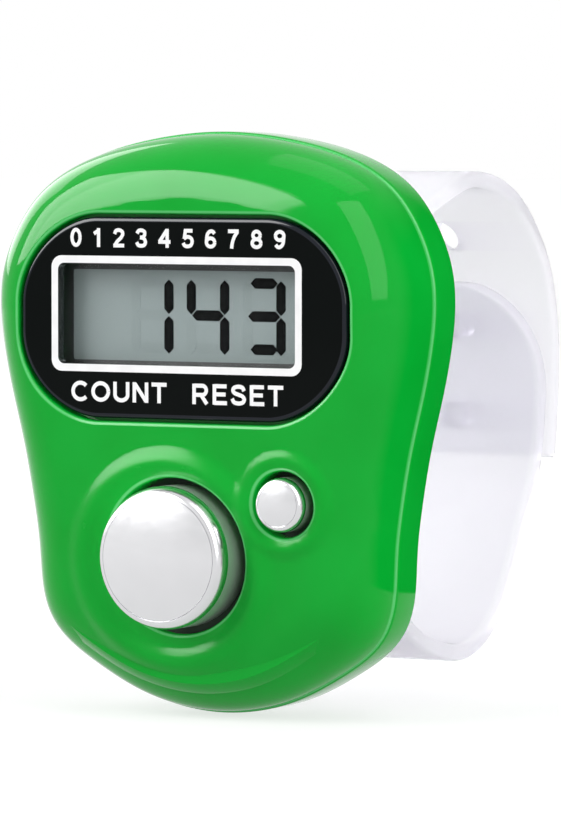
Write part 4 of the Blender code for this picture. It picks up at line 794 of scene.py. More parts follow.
def finish_mesh(name, bm, closed=True):
    """An object made from a bmesh, with smooth shading. The faces of a closed one are turned outwards."""
    if closed:
        bmesh.ops.recalc_face_normals(bm, faces=bm.faces)
    shade_smooth(bm)
    mesh = bpy.data.meshes.new(name)
    bm.to_mesh(mesh)
    bm.free()
    piece = bpy.data.objects.new(name, mesh)
    bpy.context.scene.collection.objects.link(piece)
    return piece


def place(piece, body, nodes, slot, *materials):
    """Put a piece on its body, in place of CAD nodes, with finishes in the order of its faces' numbers."""
    for material in materials:
        piece.data.materials.append(material)
    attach(piece, body)
    if nodes:
        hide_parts(*nodes)


def apply_boolean(piece, tool, operation):
    """Cut or join a piece with a tool, which is removed."""
    modifier = piece.modifiers.new("shape", "BOOLEAN")
    modifier.operation = operation
    modifier.solver = "EXACT"
    modifier.object = tool
    graph = bpy.context.evaluated_depsgraph_get()
    mesh = bpy.data.meshes.new_from_object(piece.evaluated_get(graph))
    piece.modifiers.clear()
    bm = bmesh.new()
    bm.from_mesh(mesh)
    bmesh.ops.dissolve_limit(bm, angle_limit=FLAT_ANGLE, verts=bm.verts, edges=bm.edges)
    shade_smooth(bm)
    bm.to_mesh(mesh)
    bm.free()
    old = piece.data
    piece.data = mesh
    bpy.data.meshes.remove(old)
    bpy.data.objects.remove(tool)


# Node helpers for the finishes


def new_material(name):
    """A material, its nodes and its shader."""
    material = bpy.data.materials.new(name)
    material.use_nodes = True
    tree = material.node_tree
    return material, tree, tree.nodes["Principled BSDF"]


def tint(colour, share):
    """A colour with its red, green and blue times a share."""
    return [min(1.0, channel * share) for channel in colour[:3]]


def map_texture(tree, texture, setting, value):
    """Lay a texture in the piece's own coordinates, with one setting of its mapping."""
    coordinates = tree.nodes.new("ShaderNodeTexCoord")
    mapping = tree.nodes.new("ShaderNodeMapping")
    mapping.inputs[setting].default_value = value
    tree.links.new(coordinates.outputs["Object"], mapping.inputs["Vector"])
    tree.links.new(mapping.outputs["Vector"], texture.inputs["Vector"])


def add_noise(tree, per_metre, detail=2.0, stretch=(1.0, 1.0, 1.0)):
    """Noise in the piece's own coordinates, with the given number of waves in a metre."""
    noise = tree.nodes.new("ShaderNodeTexNoise")
    noise.inputs["Scale"].default_value = per_metre
    noise.inputs["Detail"].default_value = detail
    map_texture(tree, noise, "Scale", stretch)
    return noise.outputs["Fac"]


def drift(tree, source, first, second, socket):
    """Colour a socket between two colours by a pattern."""
    ramp = tree.nodes.new("ShaderNodeValToRGB")
    for element, position, colour in zip(ramp.color_ramp.elements, DRIFT_SPAN, (first, second)):
        element.position = position
        element.color = (*colour[:3], 1.0)
    tree.links.new(source, ramp.inputs["Fac"])
    tree.links.new(ramp.outputs["Color"], socket)


def vary(tree, source, low, high, socket):
    """Vary a number between two values by a pattern."""
    spread = tree.nodes.new("ShaderNodeMapRange")
    limits = {"From Min": VARY_SPAN[0], "From Max": VARY_SPAN[1], "To Min": low, "To Max": high}
    for name, value in limits.items():
        spread.inputs[name].default_value = value
    tree.links.new(source, spread.inputs["Value"])
    tree.links.new(spread.outputs["Result"], socket)


def raise_grain(tree, source, height, strength, shader):
    """Give a shader a fine relief from a pattern."""
    bump = tree.nodes.new("ShaderNodeBump")
    bump.inputs["Strength"].default_value = strength
    bump.inputs["Distance"].default_value = height
    tree.links.new(source, bump.inputs["Height"])
    tree.links.new(bump.outputs["Normal"], shader.inputs["Normal"])


def mark(tree, name):
    """A number that the mesh carries at its own vertices, nothing where it carries none."""
    node = tree.nodes.new("ShaderNodeAttribute")
    node.attribute_name = name
    return node.outputs["Fac"]


def mix_in(tree, share, second, socket):
    """Mix a colour into the one that a socket already has, by a share."""
    mix = tree.nodes.new("ShaderNodeMix")
    mix.data_type = "RGBA"
    tree.links.new(share, mix.inputs["Factor"])
    tree.links.new(socket.links[0].from_socket, mix.inputs["A"])
    mix.inputs["B"].default_value = second
    tree.links.new(mix.outputs["Result"], socket)


def show_mix(tree, share, first, second, output="Material Output"):
    """Show a mix of two shaders: the first one at no share, the second one at a share of one."""
    mix = tree.nodes.new("ShaderNodeMixShader")
    tree.links.new(share, mix.inputs["Fac"])
    tree.links.new(first, mix.inputs[1])
    tree.links.new(second, mix.inputs[2])
    tree.links.new(mix.outputs["Shader"], tree.nodes[output].inputs["Surface"])


def moulded_plastic(name, colour, shade, gloss, grain, height, sheen=0.5):
    """Moulded plastic: faint drift of colour, uneven gloss and a fine moulded grain."""
    material, tree, shader = new_material(name)
    drift(tree, add_noise(tree, 160.0), colour, shade, shader.inputs["Base Color"])
    vary(tree, add_noise(tree, 420.0, 4.0), gloss[0], gloss[1], shader.inputs["Roughness"])
    raise_grain(tree, add_noise(tree, grain, 3.0), height, 0.25, shader)
    shader.inputs["Specular IOR Level"].default_value = sheen
    return material


def bare_metal(name, colour, shade, gloss, stretch=(1.0, 1.0, 1.0)):
    """Metal with fine drawn marks and an uneven polish."""
    material, tree, shader = new_material(name)
    drift(tree, add_noise(tree, 300.0), colour, shade, shader.inputs["Base Color"])
    marks = add_noise(tree, 2600.0, 3.0, stretch)
    vary(tree, marks, gloss[0], gloss[1], shader.inputs["Roughness"])
    raise_grain(tree, marks, 0.000002, 0.15, shader)
    shader.inputs["Metallic"].default_value = 1.0
    return material


def plain_finish(name):
    """A plastic or a metal of the tables."""
    if name in PLASTICS:
        return moulded_plastic(name, *PLASTICS[name])
    return bare_metal(name, *METALS[name])


def case_plastic():
    """The vivid green gloss plastic of both shells and the cover."""
    name = "case_green_plastic"
    if name in bpy.data.materials:
        return bpy.data.materials[name]
    settings = bpy.context.scene.tally_case
    material = moulded_plastic(
        name, settings.colour, settings.shade, gloss=(0.05, 0.08), grain=2400.0, height=0.000001, sheen=0.14,
    )
    tree = material.node_tree
    shader = tree.nodes["Principled BSDF"]
    # Painted highlight: the lighter colour is mixed in along the crease and the lips, where the vertices are
    # marked
    mix_in(tree, mark(tree, "edge"), settings.painted_highlight_colour, shader.inputs["Base Color"])
    duller = tree.nodes.new("ShaderNodeMath")
    duller.operation = "MULTIPLY_ADD"
    tree.links.new(mark(tree, "soft"), duller.inputs[0])
    duller.inputs[1].default_value = RING_DULLNESS
    tree.links.new(shader.inputs["Roughness"].links[0].from_socket, duller.inputs[2])
    tree.links.new(duller.outputs["Value"], shader.inputs["Roughness"])
    return material


def chrome_plating():
    """Bright chrome with faint rubbing marks."""
    colour = bpy.context.scene.tally_button.colour
    return bare_metal("bright_chrome", colour, tint(colour, 0.97), (0.17, 0.21))


def satin_chrome():
    """The rougher plating down the side of the buttons, with a darker colour and weaker metal that are
    painted shade for the gap.
    """
    material = plain_finish("satin_chrome")
    material.node_tree.nodes["Principled BSDF"].inputs["Metallic"].default_value = 0.75
    return material


def lens_print(name, colour, sheen):
    """Ink under the gloss of the lens, with faint finger marks in the gloss."""
    material, tree, shader = new_material(name)
    drift(tree, add_noise(tree, 900.0), colour, tint(colour, 0.94), shader.inputs["Base Color"])
    vary(tree, add_noise(tree, 260.0, 5.0), 0.05, 0.09, shader.inputs["Roughness"])
    shader.inputs["Specular IOR Level"].default_value = sheen
    return material


def clear_pane():
    """The clear window of the lens, which lets the lamps through to the display."""
    material, tree, shader = new_material("lens_clear_window")
    base = shader.inputs["Base Color"]
    drift(tree, add_noise(tree, 200.0), (0.97, 0.98, 0.98), (0.99, 1.0, 1.0), base)
    shader.inputs["Roughness"].default_value = 0.0
    shader.inputs["IOR"].default_value = 1.08
    shader.inputs["Transmission Weight"].default_value = 1.0
    open_to_lamps = tree.nodes.new("ShaderNodeBsdfTransparent")
    rays = tree.nodes.new("ShaderNodeLightPath")
    show_mix(tree, rays.outputs["Is Shadow Ray"], shader.outputs["BSDF"], open_to_lamps.outputs["BSDF"])
    return material


def soft_strap_rubber():
    """Cloudy see-through rubber, with a painted highlight along its thin edges, where the light gathers."""
    settings = bpy.context.scene.tally_strap
    material, tree, shader = new_material("strap_cloudy_rubber")
    base = shader.inputs["Base Color"]
    drift(tree, add_noise(tree, 120.0, 3.0), tint(settings.colour, 0.97), settings.colour, base)
    # Painted highlight along the thin edges
    mix_in(tree, mark(tree, "edge"), settings.painted_highlight_colour, base)
    vary(tree, add_noise(tree, 500.0, 3.0), 0.34, 0.46, shader.inputs["Roughness"])
    raise_grain(tree, add_noise(tree, 3000.0, 3.0), 0.000006, 0.3, shader)
    shader.inputs["IOR"].default_value = 1.18
    shader.inputs["Transmission Weight"].default_value = 0.80
    return material


# The shells


def add_openings(bm, painted_highlight_layer, settings):
    """The walls and rounded lips of the recess and the two button holes, one after the other.

    Their rings at the bottom, their rings on the dome and the loops of these are returned.
    """
    openings = (
        (lens_outline, LENS_GAP, LENS_LEDGE_DEPTH),
        (lambda margin: circle(COUNT_CENTRE, COUNT_RADIUS + margin, COUNT_STEPS), COUNT_GAP, -CEILING_RISE),
        (lambda margin: circle(RESET_CENTRE, RESET_RADIUS + margin, RESET_STEPS), RESET_GAP, -CEILING_RISE),
    )
    floors, surfaces, loops = [], [], []
    for loop_at, gap, floor_depth in openings:
        rings = [add_ring(bm, loop_at(gap), floor_depth)]
        for inset, drop in reversed(arc_pairs(settings.lip)):
            loop = loop_at(gap + inset)
            rings.append(add_ring(bm, loop, -dome_rise(loop, settings.crease) + drop))
        bridge_all(bm, rings)
        # Mark the lip's rounding for the painted highlight along it
        for vert in rings[-3] + rings[-2]:
            vert[painted_highlight_layer] = 1.0
        floors.append(rings[0])
        surfaces.append(rings[-1])
        loops.append(loop_at(gap + settings.lip))
    return floors, surfaces, loops


def dome_points(crease, hole_loops):
    """Rows of X and Z all over the dome but not in its holes: rings near its edge, then an even grid."""
    turns = np.linspace(0.0, np.pi / 2, DOME_RINGS + 1)[1:]
    insets = crease + (DOME_EDGE - crease) * (1 - np.cos(turns))
    rings = [case_loop(inset) for inset in insets if inset < DOME_RING_REACH]
    grid_x = np.arange(CASE_LOW.x, CASE_HIGH.x, DOME_GRID)
    grid_z = np.arange(CASE_LOW.z, CASE_HIGH.z, DOME_GRID)
    grid = np.array(np.meshgrid(grid_x, grid_z)).reshape(2, -1).T
    grid[:, 0] += np.where(np.round(grid[:, 1] / DOME_GRID) % 2 == 0, 0.0, DOME_GRID / 2)
    outer = case_loop(0.0)
    grid = grid[is_inside(grid, outer)]
    grid = grid[edge_distance(grid, outer) > DOME_RING_REACH + POINT_CLEARANCE]
    points = np.vstack([*rings, grid])
    for loop in hole_loops:
        points = points[~is_inside(points, loop)]
        points = points[edge_distance(points, loop) > POINT_CLEARANCE]
    return points


def add_side_wall(bm, painted_highlight_layer, edge_ring, crease):
    """The step under the dome, the side wall and its inside. The inner ring at the crease is returned."""
    crease_round = crease / (1 - math.sin(CREASE_START))
    pairs = arc_pairs(crease_round, ARC_STEPS, CREASE_START)[1:]
    stations = [(case_loop(inset), drop) for inset, drop in pairs]
    stations += [(case_loop(inset), SIDE_WALL - drop) for inset, drop in reversed(arc_pairs(RIM_EDGE))]
    inner = case_loop(CASE_WALL)
    stations += [(case_loop(RIM_EDGE + SUPPORT), SIDE_WALL), (inner, SIDE_WALL), (inner, 0.0)]
    first, last = loft(bm, stations)
    # Mark the crease for the painted highlight along it
    for vert in edge_ring + first:
        vert[painted_highlight_layer] = 1.0
    bridge(bm, edge_ring, first)
    return last


def add_inner_wall(bm, inner_edge):
    """The inside of the dome from the side wall up to the ceiling, whose ring is returned."""
    stations = []
    for share in np.linspace(1 / INNER_WALL_STEPS, 1.0, INNER_WALL_STEPS):
        turn = share * math.pi / 2
        inset = CASE_WALL + (DOME_EDGE - CASE_WALL) * (1 - math.cos(turn)) * INNER_WALL_REACH
        height = min(CEILING_RISE, (DOME_RISE - CASE_WALL) * math.sin(turn))
        stations.append((case_loop(inset), -height))
    first, ceiling = loft(bm, stations)
    bridge(bm, inner_edge, first)
    return ceiling


def make_front_shell():
    """The domed front of the case with its side wall, recess, holes and soft rings."""
    settings = bpy.context.scene.tally_case
    bm = bmesh.new()
    skin = bm.faces.layers.int.new("skin")
    painted_highlight_layer = bm.verts.layers.float.new("edge")
    soft_layer = bm.verts.layers.float.new("soft")
    floors, surfaces, hole_loops = add_openings(bm, painted_highlight_layer, settings)
    edge_ring = add_ring(bm, case_loop(settings.crease), 0.0)
    points = dome_points(settings.crease, hole_loops)
    inner_verts = add_ring(bm, points, -dome_rise(points, settings.crease))
    for face in fill(bm, [edge_ring, *surfaces], inner_verts):
        face[skin] = 1
    inner_edge = add_side_wall(bm, painted_highlight_layer, edge_ring, settings.crease)
    ceiling = add_inner_wall(bm, inner_edge)
    window = range_rectangle(WINDOW_HOLE_X, WINDOW_HOLE_Z, WINDOW_HOLE_CORNER, WINDOW_HOLE_STEPS)
    ledge_window, ceiling_window = loft(bm, [(window, LENS_LEDGE_DEPTH), (window, -CEILING_RISE)])
    fill(bm, [floors[0], ledge_window])
    fill(bm, [ceiling, ceiling_window, *floors[1:]])

    places = np.array([(vert.co.x, vert.co.z) for vert in bm.verts])
    for vert, softness in zip(bm.verts, ring_softness(places)):
        vert[soft_layer] = softness
    piece = finish_mesh("front_shell", bm)
    shade_dome(piece.data, settings.crease)
    place(piece, "case", ["front_case"], "case_green", case_plastic())


def read_all(items, setting, kind, width=1):
    """One setting of every item of a mesh, as a row or as rows of a width."""
    values = np.empty(len(items) * width, dtype=kind)
    items.foreach_get(setting, values)
    return values.reshape(-1, width) if width > 1 else values


def shade_dome(mesh, crease):
    """Give the dome's faces the exact normals of its formula, so that reflections run evenly."""
    corners = read_all(mesh.corner_normals, "vector", np.float32, 3)
    vertex_of = read_all(mesh.loops, "vertex_index", np.int32)
    on_skin = read_all(mesh.attributes["skin"].data, "value", np.int32)
    sizes = read_all(mesh.polygons, "loop_total", np.int32)
    skin_corners = np.repeat(on_skin.astype(bool), sizes)
    places = read_all(mesh.vertices, "co", np.float32, 3)
    used = np.unique(vertex_of[skin_corners])
    exact = np.zeros((len(mesh.vertices), 3))
    exact[used] = dome_normals(places[used][:, [0, 2]].astype(float), crease)
    corners[skin_corners] = exact[vertex_of[skin_corners]]
    mesh.normals_split_custom_set(corners.tolist())
    mesh.attributes.remove(mesh.attributes["skin"])


def back_profile():
    """Pairs of inset and depth down the outside of the back case."""
    start = SIDE_WALL + BACK_GAP
    width, height = BACK_TAPER - BACK_STEP, BACK_DEPTH - start
    shares = spline(BACK_CURVE, False, BACK_CURVE_STEPS)
    return [(BACK_STEP + width * across, start + height * down) for across, down in shares]


def hole_rim(centre, radius, edge, steps):
    """Loops and depths of the rounded rim of a hole in the back."""
    pairs = arc_pairs(edge, SMALL_CORNER_STEPS)
    return [(circle(centre, radius + inset, steps), BACK_DEPTH - drop) for inset, drop in pairs]


def cover_seat(bm):
    """The seat of the battery cover with its ledge and notched hole. Its ring on the back is returned."""
    radius = (COVER_HIGH.x - COVER_LOW.x) / 2 + COVER_SEAT_GAP
    stations = hole_rim((0, 0), radius, RIM_EDGE, ROUND_STEPS)
    notched = np.array([notch_radius(turn) for turn in -2 * np.pi * np.arange(ROUND_STEPS) / ROUND_STEPS])
    notched_loop = circle((0, 0), 1.0, ROUND_STEPS) * notched[:, None]
    stations += [
        (circle((0, 0), radius, ROUND_STEPS), COVER_LEDGE_DEPTH),
        (notched_loop, COVER_LEDGE_DEPTH),
        (notched_loop, COVER_LEDGE_DEPTH - COVER_HOLE_DEPTH),
    ]
    return loft(bm, stations)[0]


def screw_hole(bm, node):
    """The sunk hole of a case screw. Its ring on the back is returned."""
    centre = middle_of(*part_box(node))
    radius = SCREW_HEAD_RADIUS + SCREW_HOLE_GAP
    stations = hole_rim(centre, radius, SCREW_HOLE_EDGE, SCREW_STEPS)
    stations.append((circle(centre, radius, SCREW_STEPS), BACK_DEPTH - SCREW_HEAD - SCREW_SEAT_GAP))
    surface, floor = loft(bm, stations)
    bm.faces.new(floor)
    return surface


def make_back_shell():
    """The tapered back with its cover seat, screw holes and strap lugs."""
    bm = bmesh.new()
    inner = case_loop(CASE_WALL + BACK_GAP)
    shoulder = SIDE_WALL + BACK_GAP
    stations = [(inner, shoulder - LIP_HEIGHT), (inner, shoulder)]
    stations += [(case_loop(inset), depth) for inset, depth in back_profile()]
    stations.append((case_loop(BACK_TAPER + SUPPORT), BACK_DEPTH))
    start, back_edge = loft(bm, stations)
    bm.faces.new(start)
    seat = cover_seat(bm)
    fill(bm, [back_edge, seat, *[screw_hole(bm, node) for node in BACK_CASE_SCREWS]])
    for side in (-1, 1):
        for end in (-1, 1):
            lug_into(bm, side, end)
    place(finish_mesh("back_shell", bm), "case", ["back_case"], "case_green", case_plastic())


def notch_radius(turn):
    """Radius of the cover's hole at a turn, with its two notches."""
    away = abs(math.remainder(turn - COVER_NOTCH_TURN, math.pi))
    return COVER_NOTCH_RADIUS if away <= COVER_NOTCH_HALF_ANGLE else COVER_HOLE_RADIUS


def lug_into(bm, side, end):
    """One strap lug: a plate standing on the back with a round end about the pin and eased edges."""
    root = BACK_DEPTH - LUG_SINK
    turns = np.linspace(np.pi / 2, -np.pi / 2, LUG_STEPS + 1)
    sections = ((0.0, LUG_EASE), (LUG_EASE, 0.0), (LUG_WIDTH - LUG_EASE, 0.0), (LUG_WIDTH, LUG_EASE))
    rings = []
    for across, shrink in sections:
        radius = LUG_RADIUS - shrink
        profile = [(root, -radius), (root, radius)]
        profile += [(PIN_DEPTH + radius * math.cos(turn), radius * math.sin(turn)) for turn in turns]
        x = side * (LUG_INNER_X + across)
        rings.append([bm.verts.new((x, y_at(depth), end * PIN_Z + height)) for depth, height in profile])
    cap_tube(bm, rings)


# The lens and its print


def make_lens_plate():
    """The lens: black behind, with a round front edge and a clear window."""
    settings = bpy.context.scene.tally_lens
    front, back = LENS_LOW.y - CREASE_Y, LENS_HIGH.y - CREASE_Y
    bm = bmesh.new()
    window = window_outline()
    pairs = arc_pairs(settings.edge, LENS_EDGE_STEPS)
    stations = [(lens_outline(-pairs[0][0] - SUPPORT), front)]
    stations += [(lens_outline(-inset), front + drop) for inset, drop in pairs]
    stations.append((lens_outline(0.0), back))
    face_ring, back_ring = loft(bm, stations)
    for face in bm.faces:
        face.material_index = 1
    window_front, window_back = loft(bm, [(window, front), (window, back)])
    fill(bm, [face_ring, window_front])
    fill(bm, [back_ring, window_back])
    plate = finish_mesh("lens_plate", bm)
    black = lens_print("lens_black_print", settings.colour, 0.05)
    polished = lens_print("lens_polished_edge", (0.006, 0.008, 0.014), 0.22)
    place(plate, "case", ["display_lens"], "lens_black", black, polished)

    bm = bmesh.new()
    prism_into(bm, inset_loop(window, PANE_GAP), front + PANE_GAP, back)
    pane = finish_mesh("lens_window", bm)
    place(pane, "case", ["display_lens"], "lens_black", clear_pane())


def make_lens_print():
    """The white frame, figures and words on the lens."""
    settings = bpy.context.scene.tally_lens
    ink = lens_print("lens_white_ink", settings.ink, 0.06)
    front = LENS_LOW.y - CREASE_Y
    bm = bmesh.new()
    top = front - PRINT_THICKNESS
    outer = range_rectangle(PRINT_X, PRINT_Z, PRINT_CORNER, CORNER_STEPS)
    flat_frame_into(bm, outer, window_outline(), top, front)
    line = finish_mesh("printed_frame", bm)
    place(line, "case", ["display_lens"], "lens_black", ink)
    words = (
        ("printed_figures", settings.upper_text, UPPER_TEXT_X, UPPER_TEXT_Z),
        ("printed_left_word", settings.left_text, COUNT_TEXT_X, LOWER_TEXT_Z),
        ("printed_right_word", settings.right_text, RESET_TEXT_X, LOWER_TEXT_Z),
    )
    for name, text, x_range, z_range in words:
        word = lettering(name, text, x_range, z_range, top)
        place(word, "case", ["display_lens"], "lens_black", ink)


def ellipse(x, z, reach_x, reach_z, start=0.0, end=360.0):
    """Points round an ellipse, or part of one between two turns in degrees."""
    turns = np.radians(np.linspace(start, end, TEXT_ARC_STEPS + 1))
    return np.column_stack([x + reach_x * np.cos(turns), z + reach_z * np.sin(turns)])


def bar(x0, z0, x1, z1):
    """The middle line of a straight stroke."""
    return np.array([(x0, z0), (x1, z1)])


def bend(*points):
    """The middle line of a smooth stroke through points."""
    return spline(points, False, TEXT_BEND_STEPS)


def glyph_strokes():
    """Width and strokes of each capital and figure, on a cell one unit high, by character."""
    six = [ellipse(0.32, 0.31, 0.22, 0.22),
           bend((0.53, 0.77), (0.44, 0.88), (0.30, 0.89), (0.15, 0.72), (0.10, 0.34))]
    return {
        "C": (0.86, [ellipse(0.47, 0.50, 0.38, 0.41, 42.0, 318.0)]),
        "O": (0.96, [ellipse(0.48, 0.50, 0.39, 0.41)]),
        "U": (0.82, [np.vstack([bar(0.09, 1.0, 0.09, 0.42), ellipse(0.41, 0.37, 0.32, 0.28, 180.0, 360.0),
                                bar(0.73, 0.42, 0.73, 1.0)])]),
        "N": (0.80, [bar(0.09, 0.0, 0.09, 1.0), bar(0.12, 0.93, 0.68, 0.07), bar(0.71, 0.0, 0.71, 1.0)]),
        "T": (0.76, [bar(0.0, 0.91, 0.76, 0.91), bar(0.38, 0.0, 0.38, 0.91)]),
        "R": (0.84, [bar(0.09, 0.0, 0.09, 1.0), bar(0.42, 0.48, 0.73, 0.02),
                     np.vstack([bar(0.09, 0.91, 0.45, 0.91), ellipse(0.50, 0.685, 0.20, 0.225, 90.0, -90.0),
                                bar(0.45, 0.46, 0.09, 0.46)])]),
        "E": (0.72, [bar(0.09, 0.0, 0.09, 1.0), bar(0.09, 0.91, 0.70, 0.91), bar(0.09, 0.51, 0.65, 0.51),
                     bar(0.09, 0.09, 0.72, 0.09)]),
        "S": (0.78, [bend((0.67, 0.70), (0.59, 0.86), (0.39, 0.91), (0.18, 0.85), (0.12, 0.71), (0.21, 0.59),
                          (0.39, 0.52), (0.60, 0.43), (0.68, 0.28), (0.60, 0.14), (0.39, 0.09), (0.17, 0.15),
                          (0.08, 0.32))]),
        "0": (0.64, [ellipse(0.32, 0.50, 0.22, 0.41)]),
        "1": (0.52, [bar(0.33, 0.0, 0.33, 1.0), bar(0.08, 0.70, 0.36, 0.90)]),
        "2": (0.64, [bend((0.10, 0.70), (0.17, 0.86), (0.33, 0.91), (0.50, 0.84), (0.54, 0.69), (0.44, 0.50),
                          (0.24, 0.30), (0.12, 0.10)), bar(0.03, 0.09, 0.62, 0.09)]),
        "3": (0.64, [bend((0.10, 0.74), (0.18, 0.88), (0.33, 0.91), (0.50, 0.83), (0.50, 0.65), (0.40, 0.55),
                          (0.26, 0.53)), bend((0.26, 0.53), (0.46, 0.48), (0.55, 0.31), (0.49, 0.14),
                                              (0.33, 0.09), (0.16, 0.13), (0.08, 0.28))]),
        "4": (0.70, [bar(0.50, 0.0, 0.50, 1.0), bar(0.02, 0.31, 0.68, 0.31), bar(0.10, 0.34, 0.48, 0.93)]),
        "5": (0.64, [bar(0.12, 0.91, 0.58, 0.91), bar(0.20, 0.93, 0.14, 0.48),
                     bend((0.12, 0.50), (0.31, 0.59), (0.50, 0.52), (0.56, 0.34), (0.49, 0.15), (0.32, 0.09),
                          (0.16, 0.13), (0.08, 0.27))]),
        "6": (0.64, six),
        "7": (0.64, [bar(0.03, 0.91, 0.60, 0.91),
                     bend((0.53, 0.88), (0.36, 0.60), (0.26, 0.30), (0.22, 0.0))]),
        "8": (0.64, [ellipse(0.32, 0.71, 0.19, 0.20), ellipse(0.32, 0.30, 0.23, 0.21)]),
        "9": (0.64, [(0.64, 1.0) - stroke for stroke in six]),
    }


def stroke_into(bm, line, half_width, depth):
    """A flat stroke along a line of X and Z."""
    line = np.asarray(line)
    ahead = np.vstack([line[1:], line[-1:]])
    behind = np.vstack([line[:1], line[:-1]])
    along = ahead - behind
    along /= np.linalg.norm(along, axis=1)[:, None]
    across = half_width * np.column_stack([along[:, 1], -along[:, 0]])
    sides = [[bm.verts.new((x, y_at(depth), z)) for x, z in line + sign * across] for sign in (-1, 1)]
    for index in range(len(line) - 1):
        bm.faces.new((sides[1][index], sides[1][index + 1], sides[0][index + 1], sides[0][index]))


def lettering(name, text, x_range, z_range, depth):
    """Bold flat characters that fill a box on the front of the lens, evenly spaced."""
    glyphs = glyph_strokes()
    height = z_range[1] - z_range[0]
    widths = [glyphs[character][0] * height * TEXT_STRETCH for character in text]
    gap = (x_range[1] - x_range[0] - sum(widths)) / (len(text) - 1)
    bm = bmesh.new()
    left = x_range[0]
    for character, width in zip(text, widths):
        for layer, stroke in enumerate(glyphs[character][1]):
            line = (left, z_range[0]) + stroke * (height * TEXT_STRETCH, height)
            stroke_into(bm, line, TEXT_STROKE / 2 * height, depth - layer * LAYER_STEP)
        left += width + gap
    return finish_mesh(name, bm, closed=False)


# The display


def grey_display_film():
    """The grey film of the unlit display."""
    colour = bpy.context.scene.tally_display.colour
    material, tree, shader = new_material("display_grey_film")
    drift(tree, add_noise(tree, 90.0), colour, tint(colour, 1.05), shader.inputs["Base Color"])
    vary(tree, add_noise(tree, 1500.0, 3.0), 0.30, 0.40, shader.inputs["Roughness"])
    shader.inputs["Specular IOR Level"].default_value = 0.2
    return material


def make_display_panel():
    """The display glass with its grey view area and black border."""
    front = PANEL_LOW.y - CREASE_Y
    back = PANEL_HIGH.y - CREASE_Y
    panel_x, panel_z = (PANEL_LOW.x, PANEL_HIGH.x), (PANEL_LOW.z, PANEL_HIGH.z)
    whole = range_rectangle(panel_x, panel_z, PANEL_CORNER, SMALL_CORNER_STEPS)
    bm = bmesh.new()
    prism_into(bm, whole, front + BORDER_THICKNESS, back)
    panel = finish_mesh("display_panel", bm)
    place(panel, "case", ["lcd_front_glass"], "display_glass", grey_display_film())

    bm = bmesh.new()
    view = range_rectangle(VIEW_X, VIEW_Z, VIEW_CORNER, SMALL_CORNER_STEPS)
    flat_frame_into(bm, whole, view, front, front + BORDER_THICKNESS)
    border = finish_mesh("display_border", bm)
    place(border, "case", ["lcd_front_glass"], "plastic_black", plain_finish("display_black_border"))


def segment_loops(right_edge):
    """The pointed outlines of the seven segments of one digit, by letter."""
    low, high = DIGIT_Z
    left = right_edge - DIGIT_WIDTH
    half = DIGIT_STROKE / 2
    columns = (left + half, right_edge - half)
    middle = (low + high) / 2
    rows = (high - half, middle, low + half)
    spans = {
        "a": (columns[0], rows[0], columns[1], rows[0]),
        "g": (columns[0], rows[1], columns[1], rows[1]),
        "d": (columns[0], rows[2], columns[1], rows[2]),
        "f": (columns[0], rows[1], columns[0], rows[0]),
        "b": (columns[1], rows[1], columns[1], rows[0]),
        "e": (columns[0], rows[2], columns[0], rows[1]),
        "c": (columns[1], rows[2], columns[1], rows[1]),
    }
    gaps = {letter: (DIGIT_GAP, -DIGIT_REACH) for letter in "fb"}
    gaps.update({letter: (-DIGIT_LOWER_REACH, DIGIT_GAP) for letter in "ec"})
    gaps.update({letter: (DIGIT_GAP + DIGIT_REACH, DIGIT_GAP + DIGIT_REACH) for letter in "ad"})
    gaps["g"] = (DIGIT_GAP, DIGIT_GAP)
    loops = {}
    for letter, (x0, z0, x1, z1) in spans.items():
        start, end = np.array([x0, z0]), np.array([x1, z1])
        along = (end - start) / np.linalg.norm(end - start)
        across = np.array([along[1], -along[0]])
        start, end = start + along * gaps[letter][0], end - along * gaps[letter][1]
        point = along * half
        loops[letter] = np.array([
            start, start + point - across * half, end - point - across * half,
            end, end - point + across * half, start + point + across * half,
        ])
    return loops


def make_digits():
    """The dark segments of the number, and the faint marks of the unlit ones."""
    settings = bpy.context.scene.tally_display
    front = PANEL_LOW.y - CREASE_Y + BORDER_THICKNESS
    dark = bmesh.new()
    faint = bmesh.new()
    shown = settings.number[::-1]
    for place_number, right_edge in enumerate(DIGIT_RIGHT_EDGES):
        lit = SEGMENTS_LIT[shown[place_number]] if place_number < len(shown) else ""
        for letter, loop in segment_loops(right_edge).items():
            if letter in lit:
                prism_into(dark, loop, front - DIGIT_THICKNESS, front)
            elif lit:
                prism_into(faint, loop, front - DIGIT_THICKNESS / 2, front)
    ink = moulded_plastic(
        "display_dark_crystal", settings.digit, tint(settings.digit, 1.5),
        gloss=(0.35, 0.45), grain=2500.0, height=0.000001, sheen=0.02,
    )
    ghost = moulded_plastic(
        "display_faint_crystal", tint(settings.colour, 0.94), tint(settings.colour, 0.97),
        gloss=(0.3, 0.4), grain=2500.0, height=0.000001, sheen=0.2,
    )
    for name, bm, material in (("display_digits", dark, ink), ("display_faint_segments", faint, ghost)):
        place(finish_mesh(name, bm), "case", ["lcd_front_glass"], "display_glass", material)


# The buttons


